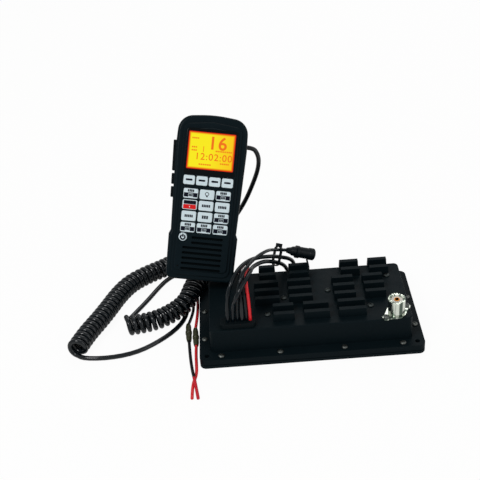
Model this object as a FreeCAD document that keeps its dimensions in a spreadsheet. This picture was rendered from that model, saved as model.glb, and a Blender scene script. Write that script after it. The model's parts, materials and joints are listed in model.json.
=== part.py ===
import FreeCAD, Part
import math
import os

import Sketcher
from FreeCAD import Placement, Rotation, Vector

# VHF marine radio: a remote-mount transceiver lying on its mounting plate, and its handset, which
# stands with one rear corner on the transceiver's deck.
# Frame: origin in the middle of the mounting plate's underside, +X right, +Y back, +Z up.
# The handset's own frame: origin in the middle of the face's foot, +X right, +Y into the case,
# +Z towards its top.  Lengths in millimetres, angles in degrees.

SIZES = {
    # transceiver: mounting plate, gasket and flange
    "base_width": 210.6,
    "base_depth": 117.0,
    "base_corner": 6.0,
    "plate_thick": 3.0,
    "gasket_thick": 1.0,
    "gasket_border": 9.5,
    "gasket_step": 0.6,
    "flange_thick": 5.9,
    # transceiver: raised housing
    "ledge_side": 10.4,
    "ledge_front": 10.6,
    "ledge_back": 17.9,
    "housing_rise": 24.4,
    "housing_draft": 1.5,
    "housing_corner": 5.0,
    "deck_round": 1.2,
    "wall_thick": 3.0,
    "deck_thick": 3.4,
    # transceiver: heat sink
    "layout_half": 94.9,
    "fin_height": 8.0,
    "fin_share": 0.42,
    "fin_front": 11.9,
    "fin_back": 2.2,
    "fin_draft": 3.0,
    # transceiver: fasteners
    "flange_screw_hole": 3.4,
    "flange_screw_inset": 5.2,
    "corner_hole": 4.6,
    "corner_hole_side": 6.9,
    "corner_hole_end": 6.5,
    "screw_head": 5.6,
    "screw_head_rise": 1.9,
    "screw_shank": 3.0,
    "screw_recess": 0.9,
    "boss_width": 8.0,
    # transceiver: inside
    "board_thick": 1.6,
    "board_level": 18.0,
    "board_side_gap": 5.9,
    "board_end_gap": 4.25,
    "seat_gap": 0.3,
    "shield_left": -13.0,
    "shield_right": 53.0,
    "shield_front": 10.45,
    "shield_depth": 20.4,
    "shield_rise": 7.0,
    "amplifier_left": -6.0,
    "amplifier_right": 46.0,
    "amplifier_back": 0.85,
    "amplifier_depth": 13.0,
    # antenna socket
    "socket_side": 14.5,
    "socket_front": 9.7,
    "socket_turn": 34.6,
    "socket_flange": 1.6,
    "socket_reach": 12.85,
    "socket_ear": 3.45,
    "socket_centre": 9.4,
    "socket_thread": 15.88,
    "socket_bore": 11.2,
    "socket_rise": 15.0,
    "socket_notch": 0.8,
    "socket_notch_wide": 1.1,
    "insulator_drop": 1.4,
    "contact_width": 5.0,
    "contact_bore": 3.9,
    "contact_pin": 2.4,
    "socket_screw_shank": 2.0,
    # cable grommet
    "grommet_side": 27.7,
    "grommet_front": 8.9,
    "grommet_width": 33.0,
    "grommet_depth": 11.5,
    "grommet_rise": 5.0,
    "grommet_corner": 3.6,
    "grommet_round": 1.0,
    "cable_entry": 3.0,
    "cable_fit": 0.05,
    # cords
    "lead_handset": 4.6,
    "lead_speaker": 4.0,
    "lead_data": 4.0,
    "lead_accessory": 3.2,
    "lead_power": 3.0,
    "coil_width": 19.5,
    "connector_width": 12.4,
    "connector_long": 29.0,
    "tie_wide": 3.6,
    "tie_thick": 1.1,
    "tie_fit": 0.45,
    "fuse_width": 6.4,
    "fuse_long": 25.0,
    # handset: case
    "case_height": 160.5,
    "case_shoulder": 157.0,
    "case_widest": 128.0,
    "case_half_top": 34.6,
    "case_half_waist": 31.9,
    "case_half_foot": 33.6,
    "case_waist": 47.0,
    "case_flare": 43.0,
    "case_depth": 34.0,
    "front_depth": 17.0,
    "case_wall": 2.2,
    "case_draft": 2.5,
    "back_draft": 5.0,
    "case_round": 3.0,
    "back_round": 6.0,
    "shoulder_round": 15.0,
    "crown_round": 120.0,
    "foot_round": 6.0,
    "step_depth": 1.6,
    "outer_step_half": 28.2,
    "outer_step_foot": 4.8,
    "outer_step_crown": 7.9,
    "face_half": 25.5,
    "face_foot": 9.4,
    "face_crown": 13.4,
    "cavity_step": 0.4,
    "seal_thick": 0.7,
    "seal_inset": 0.8,
    "seal_wall": 2.4,
    # handset: display
    "window_half": 24.4,
    "window_foot": 101.4,
    "window_top": 145.4,
    "window_round": 2.6,
    "window_thick": 1.2,
    "display_half": 22.4,
    "display_foot": 106.8,
    "display_top": 142.5,
    "display_thick": 3.0,
    "panel_lip": 1.4,
    # handset: keys
    "key_gap": 0.3,
    "key_proud": 1.0,
    "key_travel": 0.8,
    "key_flange": 0.25,
    "key_flange_thick": 0.7,
    "key_round": 1.4,
    "key_edge": 0.35,
    "key_width": 13.9,
    "key_height": 9.3,
    "key_column": 15.55,
    "key_row": 10.8,
    "key_bottom": 50.8,
    "soft_width": 10.8,
    "soft_height": 8.8,
    "soft_column": 12.2,
    "soft_level": 95.9,
    "power_width": 7.8,
    "power_x": -19.3,
    "power_z": 41.3,
    # handset: keys in the left side
    "ptt_foot": 103.5,
    "ptt_top": 133.0,
    "side_proud": 2.0,
    "side_near": 6.6,
    "side_far": 13.6,
    "side_travel": 1.0,
    "side_flange": 0.9,
    "side_flange_thick": 0.9,
    "volume_foot": 78.0,
    "volume_long": 10.4,
    "volume_pitch": 12.6,
    # handset: grille, speaker, microphone
    "slot_long": 38.0,
    "slot_short": 30.0,
    "slot_high": 2.3,
    "slot_pitch": 5.0,
    "slot_first": 11.3,
    "slot_right": 19.2,
    "speaker_width": 33.0,
    "speaker_x": 2.6,
    "speaker_z": 27.0,
    "speaker_depth": 8.5,
    "magnet_width": 18.0,
    "microphone_width": 4.4,
    "microphone_x": -22.0,
    "microphone_z": 13.4,
    "microphone_hole": 1.6,
    "circuit_near": 4.9,
    "circuit_foot": 47.0,
    "circuit_top": 148.0,
    "circuit_half": 26.4,
    # handset: back
    "post_width": 6.4,
    "post_x": 24.0,
    "post_low": 52.0,
    "post_high": 141.0,
    "case_screw_head": 5.0,
    "case_screw_shank": 2.4,
    "stud_z": 108.0,
    "stud_head": 11.0,
    "stud_neck": 6.4,
    "stud_neck_rise": 3.2,
    "stud_head_rise": 2.6,
    "gland_x": 7.0,
    "gland_z": 132.3,
    "gland_tilt": 11.0,
    "gland_run": 22.0,
    "gland_off": 5.5,
    "gland_root": 5.2,
    "gland_tip": 3.5,
    "gland_long": 14.0,
    # handset: where it stands
    "handset_x": -102.1,
    "handset_y": 6.3,
    "handset_z": 53.9,
    "handset_recline": 32.0,
    "handset_lean": 11.2,
    "handset_turn": 2.7,
}

# Places along X are laid out on a housing of half width layout_half and follow the real one.
# A deck screw's second number counts rows of fins from the front one.
FLANGE_SCREWS_ALONG = (-84.7, -29.8, 30.3, 84.7)
FLANGE_SCREWS_BESIDE = (-28.0, 14.0)
DECK_SCREWS = ((-38.9, 0.69), (-21.8, 2.58), (21.0, 3.15), (58.5, 0.89), (80.4, 4.52), (-64.0, 3.71))
FRONT_ROWS = 2
MIDDLE_ROWS = 3
REAR_ROWS = 2
FRONT_BLOCKS = ((-34.0, -14.0), (-5.5, 19.0), (27.0, 53.0))
MIDDLE_BLOCKS = ((-50.0, -26.0), (-17.5, 5.5), (25.5, 46.5), (55.0, 75.0))
REAR_BLOCKS = ((-44.0, -27.5), (-14.5, 5.0), (36.0, 55.0), (64.0, 83.0))
# Each cable's diameter and its place from the middle of the grommet.
GROMMET_CABLES = {
    "speaker": ("lead_speaker", -9.2),
    "data": ("lead_data", -4.5),
    "accessory": ("lead_accessory", -0.1),
    "handset": ("lead_handset", 4.1),
    "sleeved": ("lead_power", 8.3),
    "red": ("lead_power", 11.7),
}

doc = FreeCAD.newDocument("vhf_marine_radio")
sheet = doc.addObject("Spreadsheet::Sheet", "Sizes")


class Size:
    """A number together with the sheet expression that gives it."""

    def __init__(self, value, text):
        self.value = float(value)
        self.text = text

    def joined(self, sign, other, value):
        return Size(value, f"({self.text} {sign} {other.text})")

    def __add__(self, other):
        other = as_size(other)
        return self.joined("+", other, self.value + other.value)

    def __radd__(self, other):
        return as_size(other) + self

    def __sub__(self, other):
        other = as_size(other)
        return self.joined("-", other, self.value - other.value)

    def __rsub__(self, other):
        return as_size(other) - self

    def __mul__(self, other):
        other = as_size(other)
        return self.joined("*", other, self.value * other.value)

    def __rmul__(self, other):
        return as_size(other) * self

    def __truediv__(self, other):
        other = as_size(other)
        return self.joined("/", other, self.value / other.value)

    def __neg__(self):
        return Size(-self.value, f"(-1 * {self.text})")


def as_size(item):
    """A Size stays as it is, and a plain number becomes one."""
    if isinstance(item, Size):
        return item
    return Size(item, f"{float(item):.6f}")


class Dimensions:
    """Every driving dimension as an attribute, each read from the sheet's cell of the same name."""

    def __init__(self, table):
        for row, (name, value) in enumerate(table.items(), start=1):
            sheet.set(f"A{row}", name)
            sheet.set(f"B{row}", f"{value}")
            sheet.setAlias(f"B{row}", name)
        doc.recompute()
        for name in table:
            setattr(self, name, Size(sheet.get(name), f"Sizes.{name}"))


dim = Dimensions(SIZES)
PARTS = []


# ---------------------------------------------------------------- sketches and features

def new_body(name, placement=None):
    """An empty body whose label is its node's name."""
    body = doc.addObject("PartDesign::Body", name)
    body.Label = name
    if placement is not None:
        body.Placement = placement
    PARTS.append(body)
    return body


def origin_plane(body, role):
    return next(item for item in body.Origin.OriginFeatures if item.Role == role)


def new_sketch(body, role, offset=0.0):
    """A sketch on one of the body's origin planes, moved along that plane's normal."""
    offset = as_size(offset)
    sketch = body.newObject("Sketcher::SketchObject", f"{body.Name}_sketch")
    sketch.AttachmentSupport = [(origin_plane(body, role), "")]
    sketch.MapMode = "FlatFace"
    sketch.AttachmentOffset = Placement(Vector(0, 0, offset.value), Rotation())
    sketch.setExpression("AttachmentOffset.Base.z", offset.text)
    return sketch


def hold(sketch, kind, geometry, point, size):
    """Hold one coordinate of a point at a signed size from the sketch's origin."""
    size = as_size(size)
    if abs(size.value) < 1e-9:
        axis = -2 if kind == "DistanceX" else -1
        sketch.addConstraint(Sketcher.Constraint("PointOnObject", geometry, point, axis))
        return
    if size.value > 0:
        constraint = Sketcher.Constraint(kind, -1, 1, geometry, point, size.value)
    else:
        size = -size
        constraint = Sketcher.Constraint(kind, geometry, point, -1, 1, size.value)
    index = sketch.addConstraint(constraint)
    sketch.setExpression(f"Constraints[{index}]", size.text)


def draw_polygon(sketch, corners):
    """A closed polygon with both coordinates of every corner held by the sheet."""
    corners = [(as_size(x), as_size(y)) for x, y in corners]
    places = [Vector(x.value, y.value, 0) for x, y in corners]
    lines = []
    for start, end in zip(places, places[1:] + places[:1]):
        lines.append(sketch.addGeometry(Part.LineSegment(start, end), False))
    for line, following in zip(lines, lines[1:] + lines[:1]):
        sketch.addConstraint(Sketcher.Constraint("Coincident", line, 2, following, 1))
    for line, (x, y) in zip(lines, corners):
        hold(sketch, "DistanceX", line, 1, x)
        hold(sketch, "DistanceY", line, 1, y)


def draw_rectangle(sketch, left, right, low, high):
    draw_polygon(sketch, ((left, low), (right, low), (right, high), (left, high)))


def draw_rounded(sketch, x, y, width, height, radius):
    """A rectangle about a centre with equal round corners."""
    x, y, width, height, radius = (as_size(item) for item in (x, y, width, height, radius))
    half_x = width / 2 - radius
    half_y = height / 2 - radius
    turns = ((1, 1, 0), (-1, 1, 90), (-1, -1, 180), (1, -1, 270))
    arcs = []
    for side_x, side_y, start in turns:
        centre = Vector(x.value + side_x * half_x.value, y.value + side_y * half_y.value, 0)
        circle = Part.Circle(centre, Vector(0, 0, 1), radius.value)
        arc = Part.ArcOfCircle(circle, math.radians(start), math.radians(start + 90))
        arcs.append(sketch.addGeometry(arc, False))
    for arc, following in zip(arcs, arcs[1:] + arcs[:1]):
        start = sketch.Geometry[arc].EndPoint
        end = sketch.Geometry[following].StartPoint
        line = sketch.addGeometry(Part.LineSegment(start, end), False)
        sketch.addConstraint(Sketcher.Constraint("Tangent", arc, 2, line, 1))
        sketch.addConstraint(Sketcher.Constraint("Tangent", line, 2, following, 1))
    for arc, (side_x, side_y, _) in zip(arcs, turns):
        hold(sketch, "DistanceX", arc, 3, x + side_x * half_x)
        hold(sketch, "DistanceY", arc, 3, y + side_y * half_y)
        index = sketch.addConstraint(Sketcher.Constraint("Radius", arc, radius.value))
        sketch.setExpression(f"Constraints[{index}]", radius.text)


def draw_circle(sketch, x, y, radius):
    radius = as_size(radius)
    centre = Vector(as_size(x).value, as_size(y).value, 0)
    circle = sketch.addGeometry(Part.Circle(centre, Vector(0, 0, 1), radius.value), False)
    hold(sketch, "DistanceX", circle, 3, x)
    hold(sketch, "DistanceY", circle, 3, y)
    index = sketch.addConstraint(Sketcher.Constraint("Radius", circle, radius.value))
    sketch.setExpression(f"Constraints[{index}]", radius.text)


def pad(body, sketch, length, back=False, draft=None):
    """Material from a sketch along its plane's normal, or against it."""
    length = as_size(length)
    feature = body.newObject("PartDesign::Pad", f"{body.Name}_pad")
    feature.Profile = sketch
    feature.Length = length.value
    feature.setExpression("Length", length.text)
    feature.Reversed = back
    if draft is not None:
        feature.TaperAngle = as_size(draft).value
        feature.setExpression("TaperAngle", as_size(draft).text)
    doc.recompute()
    return feature


def pocket(body, sketch, length, back=False):
    """A cut from a sketch against its plane's normal, or along it; it must remove material."""
    length = as_size(length)
    volume = body.Shape.Volume
    feature = body.newObject("PartDesign::Pocket", f"{body.Name}_pocket")
    feature.Profile = sketch
    feature.Length = length.value
    feature.setExpression("Length", length.text)
    feature.Reversed = back
    doc.recompute()
    if body.Shape.Volume > volume - 1e-3:
        raise RuntimeError(f"{feature.Name} cuts nothing")
    return feature


def repeat_along(body, feature, axis_role, span, count):
    """Copies of a feature, evenly spaced along one of the body's axes."""
    span = as_size(span)
    pattern = body.newObject("PartDesign::LinearPattern", f"{body.Name}_row")
    pattern.Originals = [feature]
    pattern.Direction = (origin_plane(body, axis_role), [""])
    pattern.Length = span.value
    pattern.setExpression("Length", span.text)
    pattern.Occurrences = count
    body.Tip = pattern
    doc.recompute()
    return pattern


def repeat_round(body, feature, count):
    """Copies of a feature round the body's Z axis."""
    pattern = body.newObject("PartDesign::PolarPattern", f"{body.Name}_ring")
    pattern.Originals = [feature]
    pattern.Axis = (origin_plane(body, "Z_Axis"), [""])
    pattern.Angle = 360
    pattern.Occurrences = count
    body.Tip = pattern
    doc.recompute()
    return pattern


def revolve(body, corners):
    """A solid of revolution about the body's Z axis, from (radius, height) corners."""
    sketch = new_sketch(body, "XZ_Plane")
    draw_polygon(sketch, corners)
    feature = body.newObject("PartDesign::Revolution", f"{body.Name}_turned")
    feature.Profile = sketch
    feature.ReferenceAxis = (sketch, ["V_Axis"])
    feature.Angle = 360
    doc.recompute()
    return feature


def edge_names(shape, chosen):
    """Names of the edges that the test picks."""
    return [f"Edge{number}" for number, edge in enumerate(shape.Edges, start=1) if chosen(edge)]


def dress(body, kind, size, chosen):
    """A fillet or chamfer on the edges of the body's tip that the test picks."""
    size = as_size(size)
    base = body.Tip
    names = edge_names(base.Shape, chosen)
    if not names:
        raise RuntimeError(f"{body.Name}: no edge to dress")
    feature = body.newObject(f"PartDesign::{kind}", f"{body.Name}_{kind.lower()}")
    feature.Base = (base, names)
    prop = "Radius" if kind == "Fillet" else "Size"
    setattr(feature, prop, size.value)
    feature.setExpression(prop, size.text)
    doc.recompute()
    return feature


def upright_at(corners, reach=3.0):
    """Test for edges along Y that start and end near one of the (x, z) corners."""
    corners = [(as_size(x).value, as_size(z).value) for x, z in corners]

    def chosen(edge):
        ends = [vertex.Point for vertex in edge.Vertexes]
        if len(ends) != 2 or abs(ends[0].y - ends[1].y) < 0.3:
            return False
        for x, z in corners:
            if all(math.hypot(end.x - x, end.z - z) < reach for end in ends):
                return True
        return False

    return chosen


def in_level(axis, level, slack=0.01):
    """Test for edges that lie in the plane where one coordinate has the given value."""
    level = as_size(level).value

    def chosen(edge):
        box = edge.BoundBox
        low = getattr(box, f"{axis}Min")
        high = getattr(box, f"{axis}Max")
        return abs(low - level) < slack and abs(high - level) < slack

    return chosen


def code_part(name, shape, placement=None):
    """A sub-part whose shape is made by code."""
    feature = doc.addObject("Part::Feature", name)
    feature.Label = name
    feature.Shape = shape
    if placement is not None:
        feature.Placement = placement
    PARTS.append(feature)
    return feature


def at(x, y, z, rotation=None):
    """A placement from sizes or numbers."""
    place = Vector(as_size(x).value, as_size(y).value, as_size(z).value)
    return Placement(place, rotation if rotation is not None else Rotation())


# ---------------------------------------------------------------- levels and places

FLANGE_LOW = dim.plate_thick + dim.gasket_thick
LEDGE = FLANGE_LOW + dim.flange_thick
DECK = LEDGE + dim.housing_rise
FIN_TOP = DECK + dim.fin_height
BOARD_TOP = dim.board_level + dim.board_thick
CEILING = DECK - dim.deck_thick
HOUSING_RIGHT = dim.base_width / 2 - dim.ledge_side
HOUSING_FRONT = dim.ledge_front - dim.base_depth / 2
HOUSING_BACK = dim.base_depth / 2 - dim.ledge_back
INNER_WIDTH = (HOUSING_RIGHT - dim.wall_thick) * 2
INNER_DEPTH = HOUSING_BACK - HOUSING_FRONT - dim.wall_thick * 2
HOUSING_MIDDLE = (HOUSING_BACK + HOUSING_FRONT) / 2
BOARD_WIDTH = INNER_WIDTH - dim.board_side_gap * 2
BOARD_DEPTH = INNER_DEPTH - dim.board_end_gap * 2
FIN_FIRST = HOUSING_FRONT + dim.fin_front
FIN_PITCH = (HOUSING_BACK - dim.fin_back - FIN_FIRST) / (FRONT_ROWS + MIDDLE_ROWS + REAR_ROWS - 1)
FIN_THICK = FIN_PITCH * dim.fin_share
SOCKET_X = HOUSING_RIGHT - dim.socket_side
SOCKET_Y = HOUSING_FRONT + dim.socket_front
GROMMET_X = dim.grommet_side - HOUSING_RIGHT
GROMMET_Y = HOUSING_FRONT + dim.grommet_front
GROMMET_TOP = DECK + dim.grommet_rise
INNER_FACE = dim.case_wall
CIRCUIT_NEAR = INNER_FACE + dim.circuit_near
CAVITY_HALF = dim.face_half - dim.cavity_step


def across(x):
    """A place along X that keeps its share of the housing's width."""
    return HOUSING_RIGHT / dim.layout_half * x


def deck_screw_places():
    """Centres of the screws in the deck."""
    return [(across(x), FIN_FIRST + FIN_PITCH * row) for x, row in DECK_SCREWS]


def flange_screw_places():
    """Centres of the screws round the flange."""
    side = dim.base_width / 2 - dim.flange_screw_inset
    front = dim.base_depth / 2 - dim.flange_screw_inset
    places = [(across(x), -front) for x in FLANGE_SCREWS_ALONG]
    places += [(across(x), front) for x in FLANGE_SCREWS_ALONG]
    places += [(-side, as_size(y)) for y in FLANGE_SCREWS_BESIDE]
    places += [(side, as_size(y)) for y in FLANGE_SCREWS_BESIDE]
    return places


def corner_hole_places():
    """Centres of the four mounting holes."""
    x = dim.base_width / 2 - dim.corner_hole_side
    y = dim.base_depth / 2 - dim.corner_hole_end
    return [(side * x, end * y) for side in (-1, 1) for end in (-1, 1)]


def socket_screw_places():
    """Centres of the two screws through the antenna socket's ears."""
    turn = dim.socket_turn
    along = Size(math.cos(math.radians(turn.value)), f"cos({turn.text})")
    beside = Size(math.sin(math.radians(turn.value)), f"sin({turn.text})")
    reach = dim.socket_reach
    return [(SOCKET_X + along * reach * side, SOCKET_Y + beside * reach * side)
            for side in (-1, 1)]


def pierce_flange(body, low, thick):
    """The screw and mounting holes, which pass through every layer of the flange."""
    sketch = new_sketch(body, "XY_Plane", low)
    for x, y in flange_screw_places():
        draw_circle(sketch, x, y, dim.flange_screw_hole / 2)
    for x, y in corner_hole_places():
        draw_circle(sketch, x, y, dim.corner_hole / 2)
    pocket(body, sketch, thick, back=True)


# ---------------------------------------------------------------- transceiver

def make_mounting_plate():
    body = new_body("mounting_plate")
    sketch = new_sketch(body, "XY_Plane")
    draw_rounded(sketch, 0, 0, dim.base_width, dim.base_depth, dim.base_corner)
    pad(body, sketch, dim.plate_thick)
    pierce_flange(body, 0, dim.plate_thick)


def make_panel_gasket():
    body = new_body("panel_gasket")
    inset = dim.gasket_step * 2
    sketch = new_sketch(body, "XY_Plane", dim.plate_thick)
    draw_rounded(sketch, 0, 0, dim.base_width - inset, dim.base_depth - inset, dim.base_corner)
    border = dim.gasket_border * 2
    draw_rounded(sketch, 0, 0, dim.base_width - border, dim.base_depth - border, dim.base_corner / 2)
    pad(body, sketch, dim.gasket_thick)
    pierce_flange(body, dim.plate_thick, dim.gasket_thick)


def add_fins(body, blocks, row, rows):
    """Rows of fins along X, cut into blocks, starting at the given row and repeated backwards."""
    middle = FIN_FIRST + row * FIN_PITCH
    sketch = new_sketch(body, "XY_Plane", DECK)
    for left, right in blocks:
        draw_rectangle(sketch, across(left), across(right), middle - FIN_THICK / 2, middle + FIN_THICK / 2)
    fins = pad(body, sketch, dim.fin_height, draft=-dim.fin_draft)
    repeat_along(body, fins, "Y_Axis", FIN_PITCH * (rows - 1), rows)


def make_chassis():
    body = new_body("chassis")
    sketch = new_sketch(body, "XY_Plane", FLANGE_LOW)
    draw_rounded(sketch, 0, 0, dim.base_width, dim.base_depth, dim.base_corner)
    pad(body, sketch, dim.flange_thick)
    sketch = new_sketch(body, "XY_Plane", LEDGE)
    draw_rounded(sketch, 0, HOUSING_MIDDLE, HOUSING_RIGHT * 2, HOUSING_BACK - HOUSING_FRONT,
                 dim.housing_corner)
    pad(body, sketch, dim.housing_rise, draft=-dim.housing_draft)
    dress(body, "Fillet", dim.deck_round, in_level("Z", DECK))
    add_fins(body, FRONT_BLOCKS, 0, FRONT_ROWS)
    add_fins(body, MIDDLE_BLOCKS, FRONT_ROWS, MIDDLE_ROWS)
    add_fins(body, REAR_BLOCKS, FRONT_ROWS + MIDDLE_ROWS, REAR_ROWS)
    sketch = new_sketch(body, "XY_Plane", FLANGE_LOW)
    draw_rounded(sketch, 0, HOUSING_MIDDLE, INNER_WIDTH, INNER_DEPTH, dim.housing_corner / 2)
    pocket(body, sketch, CEILING - FLANGE_LOW, back=True)
    sketch = new_sketch(body, "XY_Plane", BOARD_TOP + dim.seat_gap)
    for x, y in deck_screw_places():
        draw_circle(sketch, x, y, dim.boss_width / 2)
    pad(body, sketch, CEILING - BOARD_TOP)
    sketch = new_sketch(body, "XY_Plane", DECK)
    for x, y in deck_screw_places():
        draw_circle(sketch, x, y, dim.flange_screw_hole / 2)
    draw_circle(sketch, SOCKET_X, SOCKET_Y, dim.contact_pin)
    for x, y in socket_screw_places():
        draw_circle(sketch, x, y, dim.socket_screw_shank / 2 + dim.cable_fit)
    pocket(body, sketch, DECK - BOARD_TOP)
    pierce_flange(body, FLANGE_LOW, dim.flange_thick)


def pan_screw(length, thick):
    """A pan-head screw with its head's underside at z = 0, pointing down, with a cross recess."""
    head = dim.screw_head.value / 2
    rise = dim.screw_head_rise.value
    dome = Part.makeSphere(head * 1.6, Vector(0, 0, rise - head * 1.6))
    screw = Part.makeCylinder(head, rise).common(dome)
    shank = Part.makeCylinder(thick.value / 2, length, Vector(0, 0, -length))
    screw = screw.fuse(shank).removeSplitter()
    blade = dim.screw_recess.value
    reach = head * 1.1
    top = Vector(-reach / 2, -blade / 2, rise - blade)
    slot = Part.makeBox(reach, blade, blade * 2, top)
    for angle in (0, 90):
        cut = slot.copy()
        cut.rotate(Vector(0, 0, 0), Vector(0, 0, 1), angle)
        screw = screw.cut(cut)
    return screw


def screw_group(name, places, level, length):
    """Identical screws as separate solids in one sub-part."""
    screw = pan_screw(as_size(length).value, dim.screw_shank)
    copies = []
    for number, (x, y) in enumerate(places):
        copy = screw.copy()
        copy.rotate(Vector(0, 0, 0), Vector(0, 0, 1), 25 + 37 * number)
        copy.translate(Vector(as_size(x).value, as_size(y).value, as_size(level).value))
        copies.append(copy)
    code_part(name, Part.makeCompound(copies))


def make_main_board():
    """The circuit board inside, with the screw holes that line up with the chassis bosses."""
    body = new_body("main_board")
    sketch = new_sketch(body, "XY_Plane", dim.board_level)
    draw_rectangle(sketch, -BOARD_WIDTH / 2, BOARD_WIDTH / 2,
                   HOUSING_MIDDLE - BOARD_DEPTH / 2, HOUSING_MIDDLE + BOARD_DEPTH / 2)
    pad(body, sketch, dim.board_thick)
    sketch = new_sketch(body, "XY_Plane", dim.board_level)
    for x, y in deck_screw_places():
        draw_circle(sketch, x, y, dim.flange_screw_hole / 2)
    pocket(body, sketch, dim.board_thick, back=True)


def make_board_box(name, left, right, y, depth, high):
    """A block-shaped module on the board."""
    body = new_body(name)
    sketch = new_sketch(body, "XY_Plane", BOARD_TOP)
    draw_rounded(sketch, (across(left) + across(right)) / 2, y, across(right) - across(left), depth, 1.0)
    pad(body, sketch, high - BOARD_TOP)


def make_grommet():
    """The rubber block where the cables come up through the deck, with a hole for each cable."""
    body = new_body("cable_grommet")
    sketch = new_sketch(body, "XY_Plane", DECK)
    draw_rounded(sketch, GROMMET_X, GROMMET_Y, dim.grommet_width, dim.grommet_depth,
                 dim.grommet_corner)
    pad(body, sketch, dim.grommet_rise)
    dress(body, "Fillet", dim.grommet_round, in_level("Z", GROMMET_TOP))
    sketch = new_sketch(body, "XY_Plane", GROMMET_TOP)
    for name, offset in GROMMET_CABLES.values():
        draw_circle(sketch, GROMMET_X + offset, GROMMET_Y, getattr(dim, name) / 2 + dim.cable_fit)
    pocket(body, sketch, dim.cable_entry)


def make_antenna_socket():
    """The coaxial socket: two-eared flange, round body, plug barrel with a toothed rim."""
    seat = at(SOCKET_X, SOCKET_Y, DECK, Rotation(Vector(0, 0, 1), dim.socket_turn.value))
    body = new_body("antenna_socket", seat)
    reach = dim.socket_reach
    for shape in ("centre", "ears", "web"):
        sketch = new_sketch(body, "XY_Plane")
        if shape == "centre":
            draw_circle(sketch, 0, 0, dim.socket_centre)
        elif shape == "ears":
            ear = dim.socket_ear
            draw_rounded(sketch, 0, 0, (reach + ear) * 2, ear * 2, ear * 0.98)
        else:
            ear = dim.socket_ear * 0.9
            wide = dim.socket_centre * 0.93
            draw_polygon(sketch, ((-reach, -ear), (-wide / 3, -wide), (wide / 3, -wide), (reach, -ear),
                                  (reach, ear), (wide / 3, wide), (-wide / 3, wide), (-reach, ear)))
        pad(body, sketch, dim.socket_flange)
    sketch = new_sketch(body, "XY_Plane", dim.socket_flange)
    draw_circle(sketch, 0, 0, dim.socket_thread / 2)
    pad(body, sketch, dim.socket_rise)
    top = dim.socket_flange + dim.socket_rise
    sketch = new_sketch(body, "XY_Plane", top)
    draw_circle(sketch, 0, 0, dim.socket_bore / 2)
    pocket(body, sketch, top)
    sketch = new_sketch(body, "XY_Plane", top)
    half = dim.socket_notch_wide / 2
    draw_rectangle(sketch, dim.socket_bore / 2 - 0.2, dim.socket_thread / 2 + 0.5, -half, half)
    notch = pocket(body, sketch, dim.socket_notch)
    repeat_round(body, notch, 20)
    sketch = new_sketch(body, "XY_Plane", dim.socket_flange)
    hole = dim.socket_screw_shank / 2 + dim.cable_fit * 2
    draw_circle(sketch, -reach, 0, hole)
    draw_circle(sketch, reach, 0, hole)
    pocket(body, sketch, dim.socket_flange)

    body = new_body("antenna_insulator", seat)
    inner = dim.contact_width / 2 + dim.cable_fit
    outer = dim.socket_bore / 2 - dim.cable_fit
    high = top - dim.insulator_drop
    revolve(body, ((inner, 0), (outer, 0), (outer, high), (inner, high)))

    body = new_body("antenna_contact", seat)
    pin = dim.contact_pin / 2
    wide = dim.contact_width / 2
    bore = dim.contact_bore / 2
    tip = top - dim.insulator_drop / 2
    low = BOARD_TOP - DECK
    revolve(body, ((0, low), (pin, low), (pin, 0), (wide, 0), (wide, tip), (bore, tip), (bore, 2), (0, 2)))
    return seat


def make_socket_screws(seat):
    screw = pan_screw(dim.deck_thick.value, dim.socket_screw_shank)
    copies = []
    for side in (-1, 1):
        copy = screw.copy()
        copy.translate(Vector(side * dim.socket_reach.value, 0, dim.socket_flange.value))
        copies.append(copy)
    code_part("antenna_screws", Part.makeCompound(copies), seat)


# ---------------------------------------------------------------- handset

def case_outline():
    """Corners of the case's outline, seen from the front, the right half first."""
    right = [
        (dim.case_half_foot - 0.8, as_size(0)),
        (dim.case_half_foot, dim.case_flare),
        (dim.case_half_waist, dim.case_waist),
        (dim.case_half_top, dim.case_widest),
        (dim.case_half_top - 1.0, dim.case_shoulder),
    ]
    left = [(-x, z) for x, z in reversed(right)]
    return right + [(as_size(0), dim.case_height)] + left


def inset_outline(inset):
    """The case's outline moved inwards by a wall."""
    inset = as_size(inset)
    moved = []
    for x, z in case_outline():
        if z.value > dim.case_widest.value:
            z = z - inset
        elif z.value == 0:
            z = z + inset
        if x.value > 0:
            x = x - inset
        elif x.value < 0:
            x = x + inset
        moved.append((x, z))
    return moved


def round_corners(body, inset):
    """Round the edges at a case outline's corners: the shoulders, the crown and the foot's two."""
    corners = inset_outline(inset)
    dress(body, "Fillet", dim.shoulder_round - inset, upright_at((corners[4], corners[6])))
    dress(body, "Fillet", dim.crown_round - inset, upright_at((corners[5],), 2.0))
    dress(body, "Fillet", dim.foot_round - inset, upright_at((corners[0], corners[-1])))


def stepped_corners(half, foot, top):
    """Corners of one of the raised panels of the face."""
    return ((half, foot), (half, top - 3.2), (0, top), (-half, top - 3.2), (-half, foot))


def add_step(body, near, half, foot, top, corner):
    """A raised panel on the case's front, from the level behind it to its own."""
    corners = stepped_corners(half, foot, top)
    sketch = new_sketch(body, "XZ_Plane", -near - dim.step_depth)
    draw_polygon(sketch, corners)
    pad(body, sketch, dim.step_depth)
    reach = dim.step_depth.value
    level = near.value

    def at_corner(edge):
        ends = [vertex.Point for vertex in edge.Vertexes]
        if len(ends) != 2:
            return False
        middle = (ends[0].y + ends[1].y) / 2
        along = abs(ends[0].y - ends[1].y)
        if abs(along - reach) > 0.01 or abs(middle - level - reach / 2) > 0.01:
            return False
        return abs(abs(ends[0].x) - as_size(half).value) < 0.01

    dress(body, "Fillet", corner, at_corner)
    dress(body, "Chamfer", dim.step_depth * 0.4, in_level("Y", near))


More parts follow.
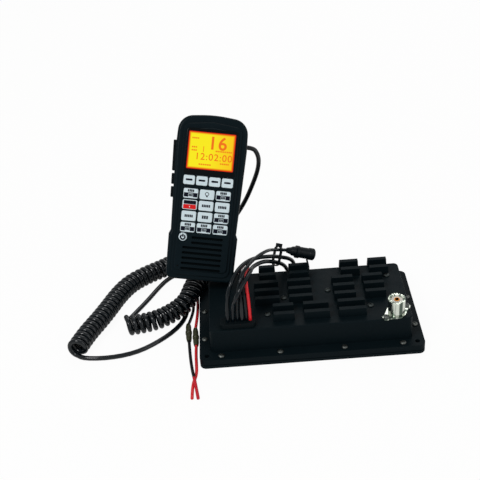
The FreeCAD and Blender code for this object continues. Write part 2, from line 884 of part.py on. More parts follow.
def handset_keys():
    """Name, centre, width and height of every key on the face."""
    keys = []
    for number in range(4):
        x = (number - 1.5) * dim.soft_column
        keys.append((f"soft_key_{number + 1}", x, dim.soft_level, dim.soft_width, dim.soft_height))
    for row in range(4):
        for column in range(3):
            name = f"key_{row * 3 + column + 1}"
            z = dim.key_bottom + (3 - row) * dim.key_row
            keys.append((name, (column - 1) * dim.key_column, z, dim.key_width, dim.key_height))
    return keys


def case_side(z):
    """Half width of the case's outline at a height between the waist and the widest level."""
    rise = (z - dim.case_waist) / (dim.case_widest - dim.case_waist)
    return dim.case_half_waist + (dim.case_half_top - dim.case_half_waist) * rise


def side_keys():
    """Name, foot and top of each key in the left side."""
    lower = dim.volume_foot
    upper = dim.volume_foot + dim.volume_pitch
    return (
        ("ptt_key", dim.ptt_foot, dim.ptt_top),
        ("volume_down_key", lower, lower + dim.volume_long),
        ("volume_up_key", upper, upper + dim.volume_long),
    )


def post_places():
    """Centres of the case's screw posts."""
    return [(side * dim.post_x, z) for side in (-1, 1) for z in (dim.post_low, dim.post_high)]


def make_front_case():
    """The face shell: stepped face, display recess, key holes, speaker grille, side key slots."""
    body = new_body("front_case", HANDSET)
    first = dim.step_depth * 2
    seam = dim.front_depth - dim.seal_thick / 2
    cavity = dim.case_wall + 0.8
    sketch = new_sketch(body, "XZ_Plane", -seam)
    draw_polygon(sketch, inset_outline(0))
    pad(body, sketch, seam - first, draft=-dim.case_draft)
    sketch = new_sketch(body, "XZ_Plane", -seam)
    draw_polygon(sketch, inset_outline(cavity))
    pocket(body, sketch, seam - first - dim.case_wall, back=True)
    round_corners(body, cavity)
    round_corners(body, 0)
    dress(body, "Fillet", dim.case_round, in_level("Y", first))
    add_step(body, dim.step_depth, dim.outer_step_half, dim.outer_step_foot,
             dim.case_height - dim.outer_step_crown, 7.0)
    add_step(body, as_size(0), dim.face_half, dim.face_foot, dim.case_height - dim.face_crown, 5.0)

    sketch = new_sketch(body, "XZ_Plane", -(first + dim.case_wall))
    draw_rounded(sketch, 0, (dim.face_foot + dim.window_top) / 2 + 0.4, CAVITY_HALF * 2,
                 dim.window_top - dim.face_foot, 4.0)
    pocket(body, sketch, first, back=True)

    sketch = new_sketch(body, "XZ_Plane")
    window_high = dim.window_top - dim.window_foot
    window_mid = (dim.window_top + dim.window_foot) / 2
    draw_rounded(sketch, 0, window_mid, dim.window_half * 2, window_high, dim.window_round)
    pocket(body, sketch, dim.window_thick)
    sketch = new_sketch(body, "XZ_Plane")
    display_mid = (dim.display_top + dim.display_foot) / 2
    display_high = dim.display_top - dim.display_foot
    draw_rounded(sketch, 0, display_mid, (dim.display_half + 0.2) * 2, display_high + 0.4, 1.0)
    pocket(body, sketch, dim.case_wall)

    for name, x, z, width, height in handset_keys():
        sketch = new_sketch(body, "XZ_Plane")
        gap = dim.key_gap * 2
        draw_rounded(sketch, x, z, width + gap, height + gap, dim.key_round + dim.key_gap)
        pocket(body, sketch, dim.case_wall)
    sketch = new_sketch(body, "XZ_Plane")
    draw_circle(sketch, dim.power_x, dim.power_z, dim.power_width / 2 + dim.key_gap)
    draw_circle(sketch, dim.microphone_x, dim.microphone_z, dim.microphone_hole / 2)
    pocket(body, sketch, dim.case_wall)

    for length, row, rows in ((dim.slot_long, 0, 5), (dim.slot_short, 5, 2)):
        sketch = new_sketch(body, "XZ_Plane")
        z = dim.slot_first + row * dim.slot_pitch
        draw_rounded(sketch, dim.slot_right - length / 2, z, length, dim.slot_high, dim.slot_high * 0.45)
        slot = pocket(body, sketch, dim.case_wall)
        repeat_along(body, slot, "Z_Axis", dim.slot_pitch * (rows - 1), rows)

    for name, foot, top in side_keys():
        sketch = new_sketch(body, "YZ_Plane", -(dim.case_half_waist - dim.case_wall - 3))
        gap = dim.key_gap
        draw_rectangle(sketch, dim.side_near - gap, dim.side_far + gap, foot - gap, top + gap)
        pocket(body, sketch, 12)


def make_rear_case():
    """The back shell: drafted and well rounded, with posts that reach the circuit board."""
    body = new_body("rear_case", HANDSET)
    seam = dim.front_depth + dim.seal_thick / 2
    cavity = dim.case_wall + 2.2
    sketch = new_sketch(body, "XZ_Plane", -seam)
    draw_polygon(sketch, inset_outline(0))
    pad(body, sketch, dim.case_depth - seam, back=True, draft=-dim.back_draft)
    sketch = new_sketch(body, "XZ_Plane", -seam)
    draw_polygon(sketch, inset_outline(cavity))
    pocket(body, sketch, dim.case_depth - seam - dim.case_wall)
    round_corners(body, cavity)
    round_corners(body, 0)
    dress(body, "Fillet", dim.back_round, in_level("Y", dim.case_depth))
    circuit_back = CIRCUIT_NEAR + dim.board_thick
    for x, z in post_places():
        sketch = new_sketch(body, "XZ_Plane", -(circuit_back + dim.seat_gap))
        draw_circle(sketch, x, z, dim.post_width / 2)
        pad(body, sketch, dim.case_depth - dim.case_wall - circuit_back, back=True)
    sketch = new_sketch(body, "XZ_Plane", -dim.case_depth)
    for x, z in post_places():
        draw_circle(sketch, x, z, dim.case_screw_head / 2 + dim.key_gap)
    pocket(body, sketch, dim.screw_head_rise, back=True)
    sketch = new_sketch(body, "XZ_Plane", -dim.case_depth)
    for x, z in post_places():
        draw_circle(sketch, x, z, dim.case_screw_shank / 2 + dim.cable_fit)
    pocket(body, sketch, dim.case_depth - circuit_back, back=True)


def make_case_seal():
    """The rubber seal between the two shells."""
    body = new_body("case_seal", HANDSET)
    low = dim.front_depth - dim.seal_thick / 2
    sketch = new_sketch(body, "XZ_Plane", -low)
    draw_polygon(sketch, inset_outline(dim.seal_inset))
    pad(body, sketch, dim.seal_thick, back=True)
    sketch = new_sketch(body, "XZ_Plane", -low)
    draw_polygon(sketch, inset_outline(dim.seal_inset + dim.seal_wall))
    pocket(body, sketch, dim.seal_thick)
    round_corners(body, dim.seal_inset + dim.seal_wall)
    round_corners(body, dim.seal_inset)


def make_display():
    """The flush window with its printed border, and the display module behind it."""
    body = new_body("display_window", HANDSET)
    high = dim.window_top - dim.window_foot
    middle = (dim.window_top + dim.window_foot) / 2
    fit = dim.cable_fit * 2
    sketch = new_sketch(body, "XZ_Plane")
    draw_rounded(sketch, 0, middle, dim.window_half * 2 - fit, high - fit, dim.window_round)
    pad(body, sketch, dim.window_thick, back=True)
    body = new_body("display_module", HANDSET)
    sketch = new_sketch(body, "XZ_Plane", -(INNER_FACE + 0.2))
    lip = dim.panel_lip
    draw_rectangle(sketch, -dim.display_half - lip, dim.display_half + lip,
                   dim.display_foot - lip, dim.display_top + lip)
    pad(body, sketch, dim.display_thick, back=True)


def make_key(name, x, z, width, height):
    """A key: printed cap, and the flange that keeps it behind the face."""
    body = new_body(name, HANDSET.multiply(at(x, 0, z)))
    sketch = new_sketch(body, "XZ_Plane", dim.key_proud)
    draw_rounded(sketch, 0, 0, width, height, dim.key_round)
    flange_near = INNER_FACE + 0.1
    pad(body, sketch, dim.key_proud + flange_near, back=True)
    dress(body, "Chamfer", dim.key_edge, in_level("Y", -dim.key_proud))
    sketch = new_sketch(body, "XZ_Plane", -flange_near)
    flange = (dim.key_gap + dim.key_flange) * 2
    draw_rounded(sketch, 0, 0, width + flange, height - dim.key_round, dim.key_round)
    pad(body, sketch, dim.key_flange_thick, back=True)


def make_power_key():
    body = new_body("power_key", HANDSET.multiply(at(dim.power_x, 0, dim.power_z)))
    sketch = new_sketch(body, "XZ_Plane", dim.key_proud)
    draw_circle(sketch, 0, 0, dim.power_width / 2)
    flange_near = INNER_FACE + 0.1
    pad(body, sketch, dim.key_proud + flange_near, back=True)
    dress(body, "Chamfer", dim.key_edge, in_level("Y", -dim.key_proud))
    sketch = new_sketch(body, "XZ_Plane", -flange_near)
    draw_circle(sketch, 0, 0, dim.power_width / 2 + dim.key_gap + dim.key_flange)
    pad(body, sketch, dim.key_flange_thick, back=True)


def make_side_key(name, foot, top):
    """A key in the case's left side, whose outer face follows the side's slope."""
    body = new_body(name, HANDSET)
    near = dim.side_near
    thick = dim.side_far - dim.side_near
    wall_in = dim.case_half_waist - dim.case_wall - 1.2
    sketch = new_sketch(body, "XZ_Plane", -near)
    draw_polygon(sketch, (
        (-(case_side(foot) + dim.side_proud), foot), (-wall_in, foot),
        (-wall_in, top), (-(case_side(top) + dim.side_proud), top)))
    pad(body, sketch, thick, back=True)
    spread = dim.side_flange
    sketch = new_sketch(body, "XZ_Plane", -(near - spread))
    draw_rectangle(sketch, -wall_in, -wall_in + dim.side_flange_thick, foot - spread, top + spread)
    pad(body, sketch, thick + spread * 2, back=True)

    def outer(edge):
        return edge.BoundBox.XMax < -case_side(foot).value - dim.side_proud.value * 0.5

    dress(body, "Fillet", dim.side_proud * 0.45, outer)


def make_inner_handset():
    """Keypad mat, circuit board, speaker and microphone."""
    mat_near = INNER_FACE + 0.1 + dim.key_flange_thick + dim.key_travel + 0.1
    body = new_body("keypad_mat", HANDSET)
    sketch = new_sketch(body, "XZ_Plane", -mat_near)
    half = CAVITY_HALF - dim.seat_gap
    tab = dim.power_x + dim.power_width / 2
    foot = dim.power_z - dim.power_width / 2
    draw_polygon(sketch, ((-half, foot), (tab, foot), (tab, dim.circuit_foot), (half, dim.circuit_foot),
                          (half, dim.window_foot), (-half, dim.window_foot)))
    pad(body, sketch, 1.0, back=True)
    body = new_body("control_board", HANDSET)
    sketch = new_sketch(body, "XZ_Plane", -CIRCUIT_NEAR)
    draw_rectangle(sketch, -dim.circuit_half, dim.circuit_half, dim.circuit_foot, dim.circuit_top)
    pad(body, sketch, dim.board_thick, back=True)
    sketch = new_sketch(body, "XZ_Plane", -CIRCUIT_NEAR)
    for x, z in post_places():
        draw_circle(sketch, x, z, dim.case_screw_shank / 2 + dim.key_gap)
    pocket(body, sketch, dim.board_thick)
    speaker_near = INNER_FACE + dim.seat_gap
    body = new_body("speaker", HANDSET.multiply(at(dim.speaker_x, speaker_near, dim.speaker_z,
                                                   Rotation(Vector(1, 0, 0), -90))))
    cone = dim.speaker_width / 2
    magnet = dim.magnet_width / 2
    deep = dim.speaker_depth
    revolve(body, ((0, 0.4), (cone - 2.4, 0), (cone, 0), (cone, 2), (magnet + 1, deep / 2),
                   (magnet, deep / 2), (magnet, deep), (0, deep)))
    body = new_body("microphone", HANDSET.multiply(at(dim.microphone_x, speaker_near, dim.microphone_z,
                                                      Rotation(Vector(1, 0, 0), -90))))
    wide = dim.microphone_width / 2
    revolve(body, ((0, 0), (wide, 0), (wide, 3.6), (0, 3.6)))


def make_handset_back():
    """Case screws, hang-up stud and the cord's side-facing gland."""
    head = dim.case_screw_head.value / 2
    shank = dim.case_screw_shank.value / 2
    rise = dim.screw_head_rise.value
    long = dim.case_depth.value - rise - INNER_FACE.value - dim.circuit_near.value
    screws = []
    for x, z in post_places():
        head_place = Vector(x.value, dim.case_depth.value - rise, z.value)
        screw = Part.makeCylinder(head, rise - 0.4, head_place, Vector(0, 1, 0))
        screw = screw.fuse(Part.makeCylinder(shank, long, head_place, Vector(0, -1, 0)))
        blade = Part.makeBox(head * 1.3, 0.8, 0.8)
        blade.translate(head_place + Vector(-head * 0.65, rise - 1.1, -0.4))
        for angle in (20, 110):
            cut = blade.copy()
            cut.rotate(head_place, Vector(0, 1, 0), angle)
            screw = screw.cut(cut)
        screws.append(screw)
    code_part("case_screws", Part.makeCompound(screws), HANDSET)

    back = dim.case_depth
    body = new_body("hanger_stud", HANDSET.multiply(at(0, back, dim.stud_z, Rotation(Vector(1, 0, 0), -90))))
    neck = dim.stud_neck / 2
    wide = dim.stud_head / 2
    top = dim.stud_neck_rise + dim.stud_head_rise
    revolve(body, ((0, 0), (neck + 1.6, 0), (neck, 1.4), (neck, dim.stud_neck_rise),
                   (wide, dim.stud_neck_rise + 0.8), (wide, top - 0.6), (wide - 0.9, top), (0, top)))
    body = new_body("cord_gland", GLAND)
    root = dim.gland_root
    long = dim.gland_long
    bore = dim.lead_handset / 2 + dim.cable_fit
    revolve(body, ((0, 0), (root - 0.8, 0), (root, 0.8), (root, 4), (root - 0.9, 4.6), (root - 0.9, 5.6),
                   (root - 0.3, 6.2), (dim.gland_tip, long), (bore, long), (bore, long - dim.cable_entry),
                   (0, long - dim.cable_entry)))
    sketch = new_sketch(body, "XZ_Plane")
    draw_circle(sketch, 0, root * 0.9, root * 0.86)
    pad(body, sketch, dim.gland_off - dim.seat_gap)


# ---------------------------------------------------------------- cords

def rounded_route(points):
    """A wire of straight runs joined by tangent arcs, and the arcs' radii."""
    corners = [Vector(*point) for point in points]
    runs = [(end - start).Length for start, end in zip(corners, corners[1:])]
    edges = []
    radii = []
    here = corners[0]
    for number in range(1, len(corners) - 1):
        corner = corners[number]
        before = (corner - corners[number - 1]).normalize()
        after = (corners[number + 1] - corner).normalize()
        turn = before.getAngle(after)
        reach = 0.45 * min(runs[number - 1], runs[number])
        radius = reach / math.tan(turn / 2)
        radii.append(radius)
        start = corner - before * reach
        end = corner + after * reach
        inward = (after - before).normalize()
        middle = corner + inward * (radius / math.cos(turn / 2) - radius)
        edges.append(Part.LineSegment(here, start).toShape())
        edges.append(Part.Arc(start, middle, end).toShape())
        here = end
    edges.append(Part.LineSegment(here, corners[-1]).toShape())
    return Part.Wire(edges), radii, runs


def make_cord(name, points, diameter):
    """A round cord along a route, as one tube."""
    wire, radii, runs = rounded_route(points)
    radius = diameter.value / 2
    start = Vector(*points[0])
    heading = (Vector(*points[1]) - start).normalize()
    ring = Part.Wire([Part.Circle(start, heading, radius).toShape()])
    tube = wire.makePipeShell([ring], True, False)
    expected = math.pi * radius ** 2 * wire.Length
    if abs(tube.Volume - expected) > 0.01 * expected:
        raise RuntimeError(f"{name}: tube volume {tube.Volume:.0f}, section times length {expected:.0f}")
    tightest = min(radii) if radii else 0
    print(f"{name}: length {wire.Length:.1f} diameter {diameter.value:.1f} "
          f"radii {[round(item, 1) for item in radii]} tightest {tightest / diameter.value:.1f} diameters "
          f"runs {[round(item, 1) for item in runs]}")
    return code_part(name, tube)


def trim(cord, carrier):
    """Cut the cord's end to the piece that it enters."""
    cord.Shape = cord.Shape.cut(carrier.Shape)


def rising(cable, rise, *points):
    """A cable's route: straight up out of its hole in the grommet, then through the points."""
    x = (GROMMET_X + GROMMET_CABLES[cable][1]).value
    y = GROMMET_Y.value
    return ((x, y, (GROMMET_TOP - dim.cable_entry).value), (x, y, rise)) + points


SPEAKER_ROUTE = rising(
    "speaker", 63.0, (-69.8, -30.3, 79.7), (-60.8, -12.6, 82.2), (-48.3, 6.0, 76.8),
    (-33.1, 19.9, 67.6), (-23.5, 36.6, 54.5), (-9.0, 48.6, 41.7), (-6.6, 61.1, 21.0), (5.4, 70.3, 3.1),
    (28.8, 71.8, 2.3), (52.0, 70.5, 2.3))
DATA_ROUTE = rising(
    "data", 54.0, (-66.0, -47.6, 76.5), (-52.7, -26.8, 85.6), (-50.1, -5.9, 75.6),
    (-39.2, 11.1, 68.7), (-28.8, 26.0, 56.6), (-18.7, 39.9, 42.5), (-14.5, 52.6, 25.4),
    (-11.1, 64.6, 8.5), (1.8, 74.2, 2.3), (23.3, 77.5, 2.3), (46.0, 76.0, 2.3))
ACCESSORY_ROUTE = rising(
    "accessory", 58.6, (-64.4, -38.2, 79.0), (-58.1, -26.9, 89.4), (-46.8, -6.9, 87.1),
    (-34.7, 12.4, 80.0), (-28.9, 30.5, 67.6), (-15.0, 41.0, 58.5))
HANDSET_LEAD_LOWER = rising(
    "handset", 60.3, (-61.9, -25.5, 74.0), (-60.4, -5.9, 72.5), (-60.2, 9.6, 55.9),
    (-60.3, 33.2, 43.4), (-64.2, 52.1, 27.1), (-76.5, 68.0, 10.5), (-88.0, 72.6, 2.6),
    (-105.9, 70.3, 2.4), (-116.4, 59.5, 2.4), (-116.6, 40.0, 2.4), (-119.8, 15.5, 2.4),
    (-130.2, -2.6, 2.4),
    (-149.0, -19.9, 2.4), (-168.3, -31.5, 2.4), (-192.8, -35.9, 2.4), (-216.0, -34.5, 2.8),
    (-230.0, -25.5, 7.5))
COIL_ROUTE = (
    (-223.0, -28.5, 9.8), (-215.7, -8.1, 9.8), (-205.6, 11.2, 9.8), (-196.6, 30.9, 9.8),
    (-188.4, 51.1, 9.8), (-177.3, 70.0, 9.8), (-160.4, 83.5, 9.8), (-141.4, 94.2, 9.8),
    (-122.6, 108.4, 9.8), (-99.6, 103.4, 9.8), (-89.9, 82.5, 12.6), (-100.5, 63.2, 20.1),
    (-110.4, 45.4, 20.6), (-116.7, 25.6, 15.0), (-134.9, 13.5, 9.8), (-155.3, 4.5, 9.8),
    (-177.0, 3.0, 9.8))
HANDSET_LEAD_UPPER = (
    (-35.2, 107.4, 129.5), (-36.4, 107.0, 115.0), (-43.0, 106.6, 97.5),
    (-52.3, 105.4, 77.5), (-66.3, 103.4, 57.0), (-83.4, 100.8, 41.1),
    (-99.4, 96.5, 25.8), (-114.3, 93.1, 11.9), (-127.7, 91.9, 2.5), (-139.3, 83.8, 2.5),
    (-148.9, 68.8, 2.5), (-158.1, 51.1, 2.5), (-168.2, 34.0, 2.5), (-175.2, 19.0, 3.6),
    (-176.5, 8.0, 7.5))
SLEEVED_ROUTE = rising(
    "sleeved", 58.1, (-59.9, -34.8, 73.1), (-59.6, -21.4, 78.9), (-56.8, -4.3, 72.9),
    (-58.3, 13.8, 58.4), (-57.4, 35.1, 45.5), (-60.3, 52.5, 30.9), (-65.0, 61.2, 18.2),
    (-75.0, 66.0, 6.5), (-89.5, 66.4, 1.7), (-104.1, 65.9, 1.7), (-111.9, 57.6, 1.7),
    (-112.3, 43.0, 1.7), (-111.9, 24.0, 1.7), (-116.9, 4.0, 3.4))
SLEEVED_END_ROUTE = (
    (-115.9, -21.0, 3.4), (-115.2, -38.0, 1.7), (-113.0, -59.9, 1.7), (-110.7, -75.8, 5.9),
    (-108.7, -87.7, 1.7), (-107.3, -99.0, 1.7))
RED_ROUTE = rising(
    "red", 59.3, (-57.0, -35.6, 75.9), (-56.3, -22.5, 81.8), (-53.6, -3.5, 74.2),
    (-55.1, 18.4, 58.2), (-54.0, 41.5, 42.5), (-58.6, 55.6, 25.0), (-68.5, 61.6, 6.6),
    (-86.5, 62.4, 1.7), (-108.4, 62.0, 1.7), (-107.6, 40.0, 1.7),
    (-107.9, 18.9, 1.7), (-109.9, -3.5, 3.4))
RED_END_ROUTE = (
    (-109.0, -28.4, 3.4), (-109.4, -38.3, 1.7), (-108.9, -52.7, 1.7), (-108.6, -67.4, 1.7),
    (-112.7, -81.0, 1.7), (-112.8, -98.5, 1.7))


def unit(start, end):
    return (Vector(*end) - Vector(*start)).normalize()


def make_connector():
    """The inline connector at the end of the accessory lead, its keyed collar and its cap strap."""
    seat = Vector(*ACCESSORY_ROUTE[-1])
    heading = Vector(28.0, 4.0, -11.1)
    placement = Placement(seat, Rotation(Vector(0, 0, 1), heading))
    body = new_body("accessory_connector", placement)
    wide = dim.connector_width / 2
    long = dim.connector_long
    neck = dim.lead_accessory / 2 + 0.9
    revolve(body, ((0, 0), (neck, 0), (neck + 1, 4), (wide - 1.6, 6), (wide - 1.6, 9), (wide, 9.6),
                   (wide, 12.6), (wide - 0.7, 13.2), (wide - 0.7, long - 6), (wide - 0.2, long - 5.4),
                   (wide - 0.2, long - 0.8), (wide - 1.0, long), (0, long)))
    sketch = new_sketch(body, "XY_Plane", 9.6)
    draw_rectangle(sketch, -1.6, 1.6, wide - 2, wide + 2.6)
    pad(body, sketch, 3.0)

    seat_low = placement.multVec(Vector(0, 0, long.value * 0.72))
    low = seat_low + Vector(0, -dim.connector_width.value * 0.42, -dim.connector_width.value * 0.3)
    foot = FIN_TOP.value + 1.25
    route = (tuple(low), (low.x + 0.6, low.y - 4.5, low.z - 1.6), (low.x + 1.0, low.y - 8.0, foot + 0.4),
             (low.x + 0.6, low.y - 12.5, foot))
    trim(make_cord("connector_strap", route, as_size(1.8)), body)
    return body


def on_plane(route, origin, heading):
    """The point near the origin where a route's centre line meets the plane across the heading."""
    wire = rounded_route(route)[0]
    near = [place for place in wire.discretize(Distance=0.2) if (place - origin).Length < 20]
    return min(near, key=lambda place: abs((place - origin).dot(heading)))


def make_cable_tie():
    """A strap round the speaker, data and accessory leads, with its head on top."""
    origin = Vector(-27.3, 28.2, 54.2)
    heading = Vector(0.5, 0.65, -0.55).normalize()
    speaker, data, accessory = (on_plane(route, origin, heading)
                                for route in (SPEAKER_ROUTE, DATA_ROUTE, ACCESSORY_ROUTE))
    lift = accessory - data
    spread = lift.Length
    lift.normalize()
    across = heading.cross(lift)
    aside = (speaker - data).dot(across) / 2
    centre_low = data + across * aside
    centre_high = accessory + across * aside
    snug = dim.lead_data.value / 2 + abs(aside) + dim.tie_fit.value
    print(f"cable tie: leads {spread:.1f} apart, middle lead {aside * 2:.1f} aside")

    def band(extra):
        """A stadium-shaped face round the two centres."""
        radius = snug + extra
        points = [centre_low - across * radius, centre_low - lift * radius, centre_low + across * radius,
                  centre_high + across * radius, centre_high + lift * radius, centre_high - across * radius]
        edges = [
            Part.Arc(points[0], points[1], points[2]).toShape(),
            Part.LineSegment(points[2], points[3]).toShape(),
            Part.Arc(points[3], points[4], points[5]).toShape(),
            Part.LineSegment(points[5], points[0]).toShape(),
        ]
        return Part.Face(Part.Wire(edges))

    wide = dim.tie_wide.value
    outer = band(dim.tie_thick.value).extrude(heading * wide)
    strap = outer.cut(band(0.0).extrude(heading * wide))
    head_centre = centre_high + lift * (snug + dim.tie_thick.value)
    head = Part.makeBox(4.8, 4.6, 3.0, Vector(-2.4, -0.8, -0.7))
    head.Placement = Placement(head_centre, Rotation(across, Vector(), lift, "ZXY"))
    code_part("cable_tie", strap.fuse(head).removeSplitter())


def turned_piece(corners, start, heading):
    """A solid of revolution from (radius, length) corners, standing at a point along a heading."""
    places = [Vector(as_size(radius).value, 0, as_size(length).value) for radius, length in corners]
    section = Part.Face(Part.makePolygon(places + places[:1]))
    piece = section.revolve(Vector(), Vector(0, 0, 1), 360)
    piece.Placement = Placement(start, Rotation(Vector(0, 0, 1), heading))
    return piece


def make_fuse_holders():
    """The inline fuse holder in each power lead: two moulded halves and their collar."""
    wide = dim.fuse_width / 2
    neck = dim.lead_power / 2 + 0.6
    long = dim.fuse_long
    corners = ((0, 0), (neck, 0), (neck + 0.3, 1.6), (wide - 0.5, 4), (wide - 0.5, 10.5), (wide, 11),
               (wide, 14), (wide - 0.4, 14.5), (wide - 0.4, long - 5), (neck + 0.3, long - 1.6),
               (neck, long), (0, long))
    holders = []
    for incoming, outgoing in ((RED_ROUTE, RED_END_ROUTE), (SLEEVED_ROUTE, SLEEVED_END_ROUTE)):
        start = Vector(*incoming[-1])
        holders.append(turned_piece(corners, start, unit(incoming[-1], outgoing[0])))
    return code_part("fuse_holders", Part.makeCompound(holders))


# ---------------------------------------------------------------- where the handset stands

def handset_placement():
    """Turned a little to its left, reclined, and leaning on its right rear corner."""
    turn = Rotation(Vector(0, 0, 1), dim.handset_turn.value)
    recline = Rotation(Vector(1, 0, 0), -dim.handset_recline.value)
    lean = Rotation(Vector(0, 1, 0), dim.handset_lean.value)
    rotation = turn.multiply(recline).multiply(lean)
    return at(dim.handset_x, dim.handset_y, dim.handset_z, rotation)


HANDSET = handset_placement()
GLAND = HANDSET.multiply(at(dim.gland_x, dim.case_depth + dim.gland_off, dim.gland_z,
                            Rotation(Vector(0, 1, 0), 90 - dim.gland_tilt.value)))


def make_transceiver():
    make_mounting_plate()
    make_panel_gasket()
    make_chassis()
    screw_group("flange_screws", flange_screw_places(), LEDGE, dim.flange_thick + dim.gasket_thick + 1.5)
    screw_group("deck_screws", deck_screw_places(), DECK, DECK - dim.board_level)
    make_main_board()
    shield_y = HOUSING_MIDDLE - BOARD_DEPTH / 2 + dim.shield_front + dim.shield_depth / 2
    make_board_box("rf_shield", dim.shield_left, dim.shield_right, shield_y, dim.shield_depth,
                   BOARD_TOP + dim.shield_rise)
    amplifier_y = HOUSING_MIDDLE + BOARD_DEPTH / 2 - dim.amplifier_back - dim.amplifier_depth / 2
    make_board_box("power_amplifier", dim.amplifier_left, dim.amplifier_right, amplifier_y,
                   dim.amplifier_depth, CEILING - dim.seat_gap)
    make_grommet()
    make_socket_screws(make_antenna_socket())


def make_handset():
    make_front_case()
    make_rear_case()
    make_case_seal()
    make_display()
    for name, x, z, width, height in handset_keys():
        make_key(name, x, z, width, height)
    make_power_key()
    for name, foot, top in side_keys():
        make_side_key(name, foot, top)
    make_inner_handset()
    make_handset_back()


def make_cords():
    make_cord("speaker_lead", SPEAKER_ROUTE, dim.lead_speaker)
    make_cord("data_lead", DATA_ROUTE, dim.lead_data)
    accessory = make_cord("accessory_lead", ACCESSORY_ROUTE, dim.lead_accessory)
    trim(accessory, make_connector())
    make_cable_tie()
    holders = make_fuse_holders()
    for name, route in (("sleeved_lead", SLEEVED_ROUTE), ("sleeved_lead_end", SLEEVED_END_ROUTE),
                        ("red_lead", RED_ROUTE), ("red_lead_end", RED_END_ROUTE)):
        trim(make_cord(name, route, dim.lead_power), holders)
    coil = make_cord("handset_coil", COIL_ROUTE, dim.coil_width)
    trim(make_cord("handset_lead_lower", HANDSET_LEAD_LOWER, dim.lead_handset), coil)
    entry = (dim.gland_long - dim.cable_entry).value
    along = tuple(tuple(GLAND.multVec(Vector(0, 0, entry + run))) for run in (0, dim.gland_run.value))
    trim(make_cord("handset_lead_upper", along + HANDSET_LEAD_UPPER, dim.lead_handset), coil)


def check_and_write():
    """Stop on any failed object or bad shape, then write one file for each sub-part."""
    doc.recompute()
    for item in doc.Objects:
        if "Invalid" in item.State or "Error" in item.State:
            raise RuntimeError(f"{item.Name} failed: {item.State}")
    for part in PARTS:
        if part.Shape.isNull() or not part.Shape.isValid() or not part.Shape.Solids:
            raise RuntimeError(f"{part.Label} has no valid solid")
    os.makedirs("parts", exist_ok=True)
    for part in PARTS:
        part.Shape.exportStep(os.path.join("parts", f"{part.Label}.step"))
    print(f"{len(PARTS)} sub-parts written")


make_transceiver()
make_handset()
make_cords()
check_and_write()
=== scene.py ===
"""Looks of a VHF marine radio: a remote-mount transceiver, its cables and its handset.

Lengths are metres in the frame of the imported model, but the cords' routes are in millimetres.
The handset has a frame of its own, with the origin in the middle of the face's foot, +X right,
+Y into the case, +Z towards the top, and its sizes are in millimetres too.
"""

import json
import logging
import math
from dataclasses import dataclass
from enum import Enum
from typing import Any, Sequence

